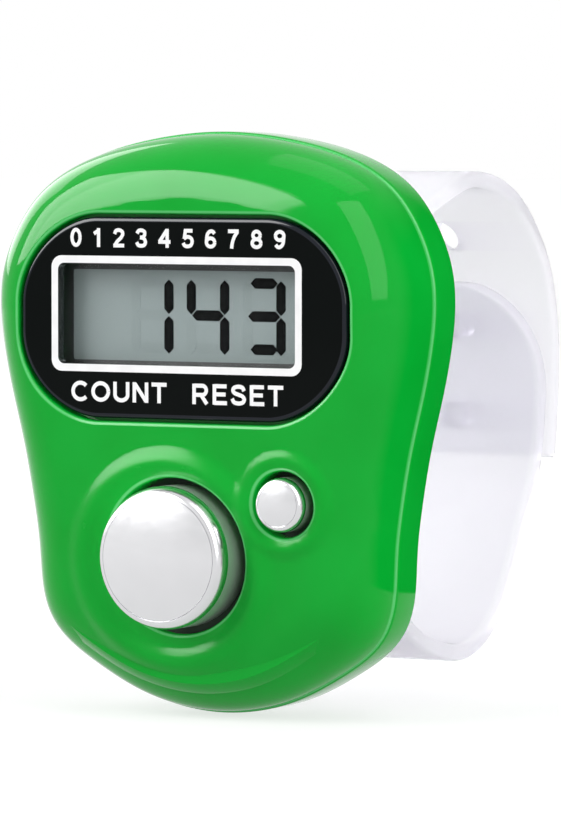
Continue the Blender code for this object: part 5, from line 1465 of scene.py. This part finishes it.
def make_button(name, box, radius, share, steps, finishes):
    """A chromed cap with a crowned face, a soft shoulder and its flange behind the case."""
    settings = bpy.context.scene.tally_button
    rim, shoulder, crown = settings.rim * share, settings.shoulder * share, settings.crown * share ** 2
    low, high = box
    face = low.y - CREASE_Y
    flange = FLANGE_GAP - CEILING_RISE
    flange_radius = (high.x - low.x) / 2
    flat = radius - rim
    parts = (*FACE_SHARES, 1.0 - FACE_GROOVE / flat)
    profile = [(flat * part, face + crown * part ** 2) for part in parts]
    profile.append((flat - FACE_GROOVE / 2, face + crown + FACE_GROOVE * share))
    for inset, drop in arc_pairs(rim, SHOULDER_STEPS):
        profile.append((radius - inset, face + crown + drop * shoulder / rim))
    profile += [
        (radius, flange - SUPPORT),
        (radius, flange),
        (flange_radius, flange),
        (flange_radius, flange + FLANGE_THICKNESS),
        (0.0, flange + FLANGE_THICKNESS),
    ]
    bm = bmesh.new()
    turned_into(bm, profile, middle_of(low, high), steps)
    # Faces get the bright chrome, the satin side with its painted shade, or the flange's painted shade, by
    # depth
    finish_ends = (y_at(face + crown + shoulder), y_at(flange - SUPPORT))
    for part in bm.faces:
        middle = part.calc_center_median().y
        part.material_index = sum(middle > end for end in finish_ends)
    piece = finish_mesh(name + "_cap", bm)
    place(piece, name, [name], "button_chrome", *finishes)


def make_buttons():
    """The count button and the reset button, whose roundings are smaller by a share."""
    # The flanges' dark plastic is painted shade for the gap behind the buttons
    finishes = (chrome_plating(), satin_chrome(), plain_finish("bare_flange"))
    make_button("count_button", (COUNT_LOW, COUNT_HIGH), COUNT_RADIUS, 1.0, COUNT_STEPS, finishes)
    make_button(
        "reset_button", (RESET_LOW, RESET_HIGH), RESET_RADIUS, RESET_ROUNDING_SHARE, RESET_STEPS, finishes,
    )


# The strap


def nearest_far_index(path, height):
    """Index of the point nearest a height on the far run of a strap path."""
    away = np.abs(path[:, 1] - height) + (path[:, 0] < UPPER_STRAP_PATH[2][0])
    return int(away.argmin())


def far_depth(path, height):
    """Depth of a strap path's far run at a height."""
    return path[nearest_far_index(path, height)][0]


def tongue_points(upper_path):
    """Three points of the tongue's middle line, a thickness and a gap inside the upper half."""
    offset = STRAP_THICKNESS + SNAP_GAP
    points = []
    for share in (0.0, 0.5, 1.0):
        index = nearest_far_index(upper_path, TONGUE_Z[0] + (TONGUE_Z[1] - TONGUE_Z[0]) * share)
        along = upper_path[index + 1] - upper_path[index]
        along /= np.linalg.norm(along)
        points.append(upper_path[index] + offset * np.array([along[1], -along[0]]))
    return points


def flare(travelled):
    """Half the strap's width at a distance from its pin."""
    share = min(1.0, travelled / STRAP_FLARE)
    ease = share * share * (3 - 2 * share)
    return (STRAP_ROOT_WIDTH + (STRAP_WIDTH - STRAP_ROOT_WIDTH) * ease) / 2


def tongue_flare(travelled, length):
    """Half the lower half's width, which rounds in at the end of its tongue."""
    width = flare(travelled)
    left = length - travelled
    if left < TONGUE_CORNER_LENGTH:
        share = 1.0 - left / TONGUE_CORNER_LENGTH
        width -= TONGUE_CORNER_WIDTH * (1.0 - math.sqrt(max(0.0, 1.0 - share * share)))
    return width


def strap_section(half_width, half_thickness, rounding):
    """The strap's section as rows of place on X, place through the thickness, and share of the painted edge
    highlight.
    """
    corner = []
    for turn in np.linspace(0.0, np.pi / 2, STRAP_CORNER_STEPS + 1):
        corner.append((
            half_width - rounding + rounding * math.cos(turn),
            half_thickness - rounding + rounding * math.sin(turn),
            1.0,
        ))
    inner = half_width - rounding - STRAP_HIGHLIGHT_FADE
    quarter = corner + [(inner, half_thickness, 0.0)]
    rows = quarter + [(-x, through, edge) for x, through, edge in reversed(quarter)]
    rows += [(-x, -through, edge) for x, through, edge in quarter]
    rows += [(x, -through, edge) for x, through, edge in reversed(quarter)]
    return rows


def strap_into(bm, painted_highlight_layer, path, half_width_at, rounding):
    """A soft band along a path of depth and height, with round long edges and a round end."""
    travelled = np.concatenate([[0.0], np.cumsum(np.linalg.norm(np.diff(path, axis=0), axis=1))])
    length = travelled[-1]
    rings = []
    for index, (depth, height) in enumerate(path):
        ahead = path[min(index + 1, len(path) - 1)]
        behind = path[max(index - 1, 0)]
        along = (ahead - behind) / np.linalg.norm(ahead - behind)
        left = min(1.0, (length - travelled[index]) / rounding)
        half = STRAP_THICKNESS / 2 - rounding * (1.0 - math.sqrt(1.0 - (1.0 - left) ** 2))
        corner = min(rounding, half * STRAP_ROUND_SHARE)
        section = strap_section(half_width_at(travelled[index]), half, corner)
        ring = []
        for x, through, edge in section:
            vert = bm.verts.new((x, y_at(depth - along[1] * through), height + along[0] * through))
            vert[painted_highlight_layer] = edge
            ring.append(vert)
        rings.append(ring)
    bridge_all(bm, rings)
    bm.faces.new(rings[0])
    bm.faces.new(rings[-1][::-1])


def bar_into(bm, centre_z, radius, half_length, steps, ease):
    """A round bar along X at the pins' depth, with eased ends."""
    rings = []
    turns = 2 * np.pi * np.arange(steps) / steps
    ends = ((-half_length, radius - ease), (-half_length + ease, radius), (half_length - ease, radius),
            (half_length, radius - ease))
    for x, reach in ends:
        rings.append([
            bm.verts.new((x, y_at(PIN_DEPTH + reach * math.cos(turn)), centre_z + reach * math.sin(turn)))
            for turn in turns
        ])
    cap_tube(bm, rings)


def strap_end_steps(path):
    """A strap path with its last stretch in finer steps, so that the end can round over."""
    last, before = path[-1], path[-2]
    along = (last - before) / np.linalg.norm(last - before)
    turns = np.linspace(0.0, np.pi / 2, ARC_STEPS + 1)
    extra = [last - along * STRAP_END_ROUND * (1 - math.sin(turn)) for turn in turns]
    clear = np.linalg.norm(path[:-1] - last, axis=1) > STRAP_END_CLEAR
    return np.vstack([path[:-1][clear], extra])


def make_strap():
    """The two soft halves of the strap, snapped together, and the two pins that carry them."""
    settings = bpy.context.scene.tally_strap
    rubber = soft_strap_rubber()
    upper_points = np.array([(PIN_DEPTH, PIN_Z), *UPPER_STRAP_PATH])
    upper_path = even_steps(spline(upper_points, False, STRAP_SPAN_STEPS), STRAP_STEPS, closed=False)
    lower_points = np.array([(PIN_DEPTH, -PIN_Z), *LOWER_STRAP_PATH, *tongue_points(upper_path)])
    lower_path = even_steps(spline(lower_points, False, STRAP_SPAN_STEPS), STRAP_STEPS, closed=False)
    lower_length = np.linalg.norm(np.diff(lower_path, axis=0), axis=1).sum()

    halves = (
        ("upper", 1, upper_path, flare),
        ("lower", -1, lower_path, lambda travelled: tongue_flare(travelled, lower_length)),
    )
    for name, end, path, half_width_at in halves:
        bm = bmesh.new()
        painted_highlight_layer = bm.verts.layers.float.new("edge")
        strap_into(bm, painted_highlight_layer, strap_end_steps(path), half_width_at, settings.rounding)
        bar_into(bm, end * PIN_Z, EYE_RADIUS, STRAP_ROOT_WIDTH / 2, SMALL_ROUND_STEPS, EYE_EASE)
        if name == "lower":
            for side, height in snap_places(SNAP_HEIGHTS[1:]):
                stud_into(bm, side, height, upper_path, lower_path)
        piece = finish_mesh(f"strap_{name}_half", bm)
        if name == "upper":
            cut_snap_holes(piece, upper_path)
        place(piece, "case", [f"strap_{name}"], "strap_clear", rubber)

    steel = plain_finish("pin_steel")
    for name, end in (("upper", 1), ("lower", -1)):
        bm = bmesh.new()
        bar_into(bm, end * PIN_Z, PIN_RADIUS, PIN_HALF_LENGTH, PIN_STEPS, PIN_EASE)
        pin = finish_mesh(f"strap_{name}_pin", bm)
        place(pin, "case", [f"strap_pin_{name}"], "metal_steel", steel)


def snap_places(heights):
    """The side and the height of each snap, in two columns."""
    return [(side, height) for side in (-1, 1) for height in heights]


def cut_snap_holes(piece, upper_path):
    """Cut three rows of snap holes through the upper half."""
    holes = bmesh.new()
    reach = 2 * STRAP_THICKNESS
    for side, height in snap_places(SNAP_HEIGHTS):
        middle = far_depth(upper_path, height)
        loop = circle((side * STUD_X, height), STUD_RADIUS + STUD_GAP, SMALL_ROUND_STEPS)
        prism_into(holes, loop, middle - reach, middle + reach)
    apply_boolean(piece, finish_mesh("strap_hole_tool", holes), "DIFFERENCE")


def stud_into(bm, side, height, upper_path, lower_path):
    """A snap stud from the tongue through the upper half, with a round end."""
    start = far_depth(lower_path, height)
    end = far_depth(upper_path, height) + STRAP_THICKNESS / 2
    profile = [(0.0, start), (STUD_RADIUS, start), *round_end(STUD_RADIUS, end, STUD_EASE), (0.0, end)]
    turned_into(bm, profile, (side * STUD_X, height), SMALL_ROUND_STEPS)


# The battery cover and the screws


def make_cover():
    """The round battery cover with its neck, flange, groove and coin slot."""
    radius = (COVER_HIGH.x - COVER_LOW.x) / 2
    front, back = COVER_LOW.y - CREASE_Y, COVER_HIGH.y - CREASE_Y
    groove_inner, groove_outer = [radius * share for share in COVER_GROOVE_SHARES]
    profile = [
        (0.0, front),
        (COVER_NECK_RADIUS, front),
        (COVER_NECK_RADIUS, back - COVER_FLANGE),
        (radius, back - COVER_FLANGE),
        *round_end(radius, back, COVER_EDGE),
        (radius - COVER_EDGE - SUPPORT, back),
        (groove_outer + COVER_GROOVE_SLOPE, back),
        (groove_outer, back - COVER_GROOVE_DEPTH),
        (groove_inner, back - COVER_GROOVE_DEPTH),
        (groove_inner - COVER_GROOVE_SLOPE, back),
        (0.0, back),
    ]
    bm = bmesh.new()
    turned_into(bm, profile, (0.0, 0.0))
    cover = finish_mesh("battery_cover_disc", bm)
    length, width, depth = COIN_SLOT
    slot = bmesh.new()
    loop = rounded_rectangle((0.0, 0.0), (length, width), width * COIN_SLOT_CORNER_SHARE, CORNER_STEPS)
    prism_into(slot, loop, back - depth, back + TOOL_REACH)
    apply_boolean(cover, finish_mesh("coin_slot_tool", slot), "DIFFERENCE")
    place(cover, "battery_cover", ["battery_cover"], "case_green", case_plastic())


def make_screws():
    """The four case screws with their cross recesses."""
    steel = plain_finish("screw_steel")
    reach, half = SCREW_HEAD_RADIUS * CROSS_REACH_SHARE, SCREW_HEAD_RADIUS * CROSS_HALF_WIDTH_SHARE
    arm = [(-half, reach), (half, reach), (half, half)]
    quarter_turns = ((1, 0), (0, 1), (-1, 0), (0, -1))
    corners = [
        (x * cosine + z * sine, z * cosine - x * sine) for cosine, sine in quarter_turns for x, z in arm
    ]
    for number, node in enumerate(BACK_CASE_SCREWS, 1):
        low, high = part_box(node)
        centre = middle_of(low, high)
        back = high.y - CREASE_Y
        tip = back - SCREW_LENGTH
        profile = [
            (0.0, tip),
            (SCREW_SHANK_RADIUS, tip + SCREW_SHANK_RADIUS),
            (SCREW_SHANK_RADIUS, back - SCREW_HEAD),
            (SCREW_HEAD_RADIUS, back - SCREW_HEAD),
            *round_end(SCREW_HEAD_RADIUS, back, SCREW_HEAD_EDGE),
            (0.0, back),
        ]
        bm = bmesh.new()
        turned_into(bm, profile, centre, SCREW_STEPS)
        screw = finish_mesh(f"case_screw_head_{number}", bm)
        cross = bmesh.new()
        prism_into(cross, np.array(centre) + np.array(corners), back - CROSS_DEPTH, back + TOOL_REACH)
        apply_boolean(screw, finish_mesh("cross_tool", cross), "DIFFERENCE")
        place(screw, "case", [node], "metal_steel", steel)


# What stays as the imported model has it


def circuit_board_material():
    """A green board with lighter copper tracks under its lacquer."""
    material, tree, shader = new_material("board_green_lacquer")
    tracks = tree.nodes.new("ShaderNodeTexBrick")
    tracks.inputs["Scale"].default_value = 420.0
    tracks.inputs["Mortar Size"].default_value = 0.06
    tracks.inputs["Color1"].default_value = (0.012, 0.110, 0.045, 1.0)
    tracks.inputs["Color2"].default_value = (0.010, 0.095, 0.040, 1.0)
    tracks.inputs["Mortar"].default_value = (0.035, 0.210, 0.080, 1.0)
    map_texture(tree, tracks, "Rotation", (math.pi / 2, 0.0, 0.0))
    tree.links.new(tracks.outputs["Color"], shader.inputs["Base Color"])
    vary(tree, add_noise(tree, 700.0), 0.30, 0.45, shader.inputs["Roughness"])
    return material


def rear_glass_material():
    """The pale glass behind the display's front glass."""
    material, tree, shader = new_material("rear_display_glass")
    base = shader.inputs["Base Color"]
    drift(tree, add_noise(tree, 300.0), (0.75, 0.80, 0.78), (0.70, 0.76, 0.74), base)
    shader.inputs["Roughness"].default_value = 0.05
    shader.inputs["Transmission Weight"].default_value = 0.8
    return material


def finish_inside_parts():
    """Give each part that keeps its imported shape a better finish."""
    finishes = [(plain_finish(name), nodes) for name, nodes in INSIDE_FINISHES]
    finishes.append((rear_glass_material(), ("lcd_rear_glass",)))
    finishes.append((circuit_board_material(), ("circuit_board",)))
    for material, nodes in finishes:
        for node in nodes:
            for material_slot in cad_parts[node].material_slots:
                material_slot.material = material


# The studio


def seen_directly(tree):
    """A value that is one for rays that show the background: camera, mirror and see-through rays."""
    rays = tree.nodes.new("ShaderNodeLightPath")
    value = rays.outputs["Is Camera Ray"]
    for kind in ("Is Glossy Ray", "Is Transmission Ray"):
        larger = tree.nodes.new("ShaderNodeMath")
        larger.operation = "MAXIMUM"
        tree.links.new(value, larger.inputs[0])
        tree.links.new(rays.outputs[kind], larger.inputs[1])
        value = larger.outputs["Value"]
    return value


def make_world(ambient):
    """Even room light, with a white background."""
    world = bpy.data.worlds.new("studio_world")
    world.use_nodes = True
    bpy.context.scene.world = world
    tree = world.node_tree
    room = tree.nodes["Background"]
    white = tree.nodes.new("ShaderNodeBackground")
    for light, strength in ((room, ambient), (white, 1.0)):
        light.inputs["Color"].default_value = (1.0, 1.0, 1.0, 1.0)
        light.inputs["Strength"].default_value = strength
    backgrounds = [light.outputs["Background"] for light in (room, white)]
    show_mix(tree, seen_directly(tree), *backgrounds, output="World Output")


def pale_floor():
    """A matt grey that also glows: weaker near the case, and weaker in the light that it casts."""
    material, tree, shader = new_material("pale_floor")
    base = shader.inputs["Base Color"]
    drift(tree, add_noise(tree, 4.0), (0.30, 0.30, 0.30), (0.29, 0.29, 0.29), base)
    shader.inputs["Roughness"].default_value = 0.9
    shader.inputs["Specular IOR Level"].default_value = 0.0
    glow = tree.nodes.new("ShaderNodeEmission")
    nearness = tree.nodes.new("ShaderNodeTexGradient")
    nearness.gradient_type = "SPHERICAL"
    map_texture(tree, nearness, "Scale", (0.8, 0.8, 0.8))
    pale = tree.nodes.new("ShaderNodeValToRGB")
    pale.color_ramp.elements[0].color = (0.86, 0.86, 0.86, 1.0)
    pale.color_ramp.elements[1].color = (0.72, 0.72, 0.72, 1.0)
    tree.links.new(nearness.outputs["Fac"], pale.inputs["Fac"])
    tree.links.new(pale.outputs["Color"], glow.inputs["Color"])
    share = tree.nodes.new("ShaderNodeMapRange")
    share.inputs["To Min"].default_value = FLOOR_FILL
    tree.links.new(seen_directly(tree), share.inputs["Value"])
    tree.links.new(share.outputs["Result"], glow.inputs["Strength"])
    lift = tree.nodes.new("ShaderNodeAddShader")
    tree.links.new(shader.outputs["BSDF"], lift.inputs[0])
    tree.links.new(glow.outputs["Emission"], lift.inputs[1])
    tree.links.new(lift.outputs["Shader"], tree.nodes["Material Output"].inputs["Surface"])
    return material


def make_floor():
    """A plain pale floor that shows white and keeps a faint shadow."""
    bm = bmesh.new()
    corners = np.array([(-1, -1), (1, -1), (1, 1), (-1, 1)]) * FLOOR_HALF_SIZE
    bm.faces.new([bm.verts.new((x, y, cad_bounds[0].z - FLOOR_DROP)) for x, y in corners])
    floor = finish_mesh("studio_floor", bm)
    floor.data.materials.append(pale_floor())


def direction(turn, height):
    """The direction from the case at a turn to the right of its front and a height, in radians."""
    return Vector((math.sin(turn) * math.cos(height), -math.cos(turn) * math.cos(height), math.sin(height)))


def add_dark_card():
    """A dark upright card with faded ends, bent round the case, that only shows in the gloss of the side."""
    bm = bmesh.new()
    cover_layer = bm.verts.layers.float.new("cover")
    start, end = CARD_TURNS
    rows = []
    for z, share in ((cad_bounds[0].z, 1.0), (CARD_TOP / 2, 1.0), (CARD_TOP, 0.0)):
        row = []
        for turn in np.linspace(start, end, CARD_STEPS + 1):
            foot = STUDIO_MIDDLE + direction(math.radians(turn), 0.0) * CARD_DISTANCE
            vert = bm.verts.new((foot.x, foot.y, z))
            vert[cover_layer] = share * min(1.0, min(turn - start, end - turn) / CARD_FADE)
            row.append(vert)
        rows.append(row)
    for lower, upper in zip(rows, rows[1:]):
        for index in range(CARD_STEPS):
            bm.faces.new((lower[index], lower[index + 1], upper[index + 1], upper[index]))
    card = finish_mesh("side_dark_card", bm, closed=False)
    cloth = plain_finish("side_dark_card_cloth")
    tree = cloth.node_tree
    gap = tree.nodes.new("ShaderNodeBsdfTransparent")
    cover = tree.nodes["Principled BSDF"].outputs["BSDF"]
    show_mix(tree, mark(tree, "cover"), gap.outputs["BSDF"], cover)
    card.data.materials.append(cloth)
    hide_from(card, ("camera", "diffuse", "transmission", "shadow"))


def hide_from(piece, rays):
    """Keep a card or a lamp from being seen by kinds of rays."""
    for kind in rays:
        setattr(piece, f"visible_{kind}", False)


def add_softbox(name, turn, height, size, glow, hidden):
    """A soft rectangular lamp that faces the case, unseen by some kinds of rays."""
    towards = direction(math.radians(turn), math.radians(height))
    lamp = bpy.data.lights.new(name, "AREA")
    lamp.shape = "RECTANGLE"
    lamp.size, lamp.size_y = size
    lamp.energy = glow * math.pi * size[0] * size[1]
    holder = bpy.data.objects.new(name, lamp)
    holder.location = STUDIO_MIDDLE + towards * LAMP_DISTANCE
    holder.rotation_euler = towards.to_track_quat("Z", "Y").to_euler()
    hide_from(holder, hidden)
    bpy.context.scene.collection.objects.link(holder)


def make_camera():
    """The camera at the photograph's place."""
    settings = bpy.context.scene.tally_stage
    back = direction(settings.azimuth, settings.elevation)
    right = Vector((math.cos(settings.azimuth), math.sin(settings.azimuth), 0.0))
    up = back.cross(right)
    aim = STUDIO_MIDDLE + right * settings.aim_right + up * settings.aim_up
    data = bpy.data.cameras.new("photo_camera")
    data.sensor_fit = "VERTICAL"
    data.sensor_height = CAMERA_SENSOR
    data.sensor_width = CAMERA_SENSOR
    data.lens = settings.lens
    data.clip_start, data.clip_end = CAMERA_CLIP
    camera = bpy.data.objects.new("photo_camera", data)
    camera.location = aim + back * settings.distance
    camera.rotation_euler = back.to_track_quat("Z", "Y").to_euler()
    bpy.context.scene.collection.objects.link(camera)
    bpy.context.scene.camera = camera


# Operators


class TALLY_OT_stage(Operator):
    """Set up the camera, room light, lamps and floor."""

    bl_idname = "tally.stage"
    bl_label = "Studio"

    def execute(self, context):
        context.scene.view_settings.view_transform = "Standard"
        make_world(context.scene.tally_stage.ambient)
        make_floor()
        for lamp in LAMPS:
            add_softbox(*lamp)
        add_dark_card()
        make_camera()
        return {"FINISHED"}


class TALLY_OT_front_shell(Operator):
    """Build the domed front of the case."""

    bl_idname = "tally.front_shell"
    bl_label = "Front shell"

    def execute(self, context):
        make_front_shell()
        return {"FINISHED"}


class TALLY_OT_back_shell(Operator):
    """Build the back of the case with its seat and lugs."""

    bl_idname = "tally.back_shell"
    bl_label = "Back shell"

    def execute(self, context):
        make_back_shell()
        return {"FINISHED"}


class TALLY_OT_lens(Operator):
    """Build the lens, its clear window and its print."""

    bl_idname = "tally.lens"
    bl_label = "Lens"

    def execute(self, context):
        make_lens_plate()
        make_lens_print()
        return {"FINISHED"}


class TALLY_OT_display(Operator):
    """Build the display panel and its digits."""

    bl_idname = "tally.display"
    bl_label = "Display"

    def execute(self, context):
        make_display_panel()
        make_digits()
        return {"FINISHED"}


class TALLY_OT_buttons(Operator):
    """Build the two chromed buttons."""

    bl_idname = "tally.buttons"
    bl_label = "Buttons"

    def execute(self, context):
        make_buttons()
        return {"FINISHED"}


class TALLY_OT_strap(Operator):
    """Build the strap halves and their pins."""

    bl_idname = "tally.strap"
    bl_label = "Strap"

    def execute(self, context):
        make_strap()
        return {"FINISHED"}


class TALLY_OT_cover(Operator):
    """Build the battery cover."""

    bl_idname = "tally.cover"
    bl_label = "Battery cover"

    def execute(self, context):
        make_cover()
        return {"FINISHED"}


class TALLY_OT_screws(Operator):
    """Build the case screws."""

    bl_idname = "tally.screws"
    bl_label = "Case screws"

    def execute(self, context):
        make_screws()
        return {"FINISHED"}


class TALLY_OT_inside_parts(Operator):
    """Finish the parts inside the case."""

    bl_idname = "tally.inside_parts"
    bl_label = "Inside parts"

    def execute(self, context):
        finish_inside_parts()
        return {"FINISHED"}


PIECE_OPERATORS = (
    TALLY_OT_stage, TALLY_OT_front_shell, TALLY_OT_back_shell, TALLY_OT_lens, TALLY_OT_display,
    TALLY_OT_buttons, TALLY_OT_strap, TALLY_OT_cover, TALLY_OT_screws, TALLY_OT_inside_parts,
)


class VIEW3D_PT_tally_counter(Panel):
    """Lists the steps that build the counter's looks, and their settings."""

    bl_label = "Tally counter"
    bl_idname = "VIEW3D_PT_tally_counter"
    bl_space_type = "VIEW_3D"
    bl_region_type = "UI"
    bl_category = "Tally counter"

    def draw(self, context):
        for operator in PIECE_OPERATORS:
            self.layout.operator(operator.bl_idname)
        for _, settings in SETTINGS:
            group = getattr(context.scene, settings)
            for name in group.bl_rna.properties.keys():
                if name not in ("rna_type", "name"):
                    self.layout.prop(group, name)


SETTINGS = (
    (TallyCaseSettings, "tally_case"),
    (TallyLensSettings, "tally_lens"),
    (TallyDisplaySettings, "tally_display"),
    (TallyButtonSettings, "tally_button"),
    (TallyStrapSettings, "tally_strap"),
    (TallyStageSettings, "tally_stage"),
)


def register():
    """Add the settings, the operators and the panel to Blender."""
    for group, name in SETTINGS:
        bpy.utils.register_class(group)
        setattr(bpy.types.Scene, name, PointerProperty(type=group))
    for operator in PIECE_OPERATORS:
        bpy.utils.register_class(operator)
    bpy.utils.register_class(VIEW3D_PT_tally_counter)


def unregister():
    """Take the panel, the operators and the settings away again."""
    bpy.utils.unregister_class(VIEW3D_PT_tally_counter)
    for operator in reversed(PIECE_OPERATORS):
        bpy.utils.unregister_class(operator)
    for group, name in reversed(SETTINGS):
        delattr(bpy.types.Scene, name)
        bpy.utils.unregister_class(group)


def main():
    """Build the looks in order."""
    register()
    bpy.ops.tally.stage()
    bpy.ops.tally.front_shell()
    bpy.ops.tally.back_shell()
    bpy.ops.tally.lens()
    bpy.ops.tally.display()
    bpy.ops.tally.buttons()
    bpy.ops.tally.strap()
    bpy.ops.tally.cover()
    bpy.ops.tally.screws()
    bpy.ops.tally.inside_parts()


if __name__ == "__main__":
    main()
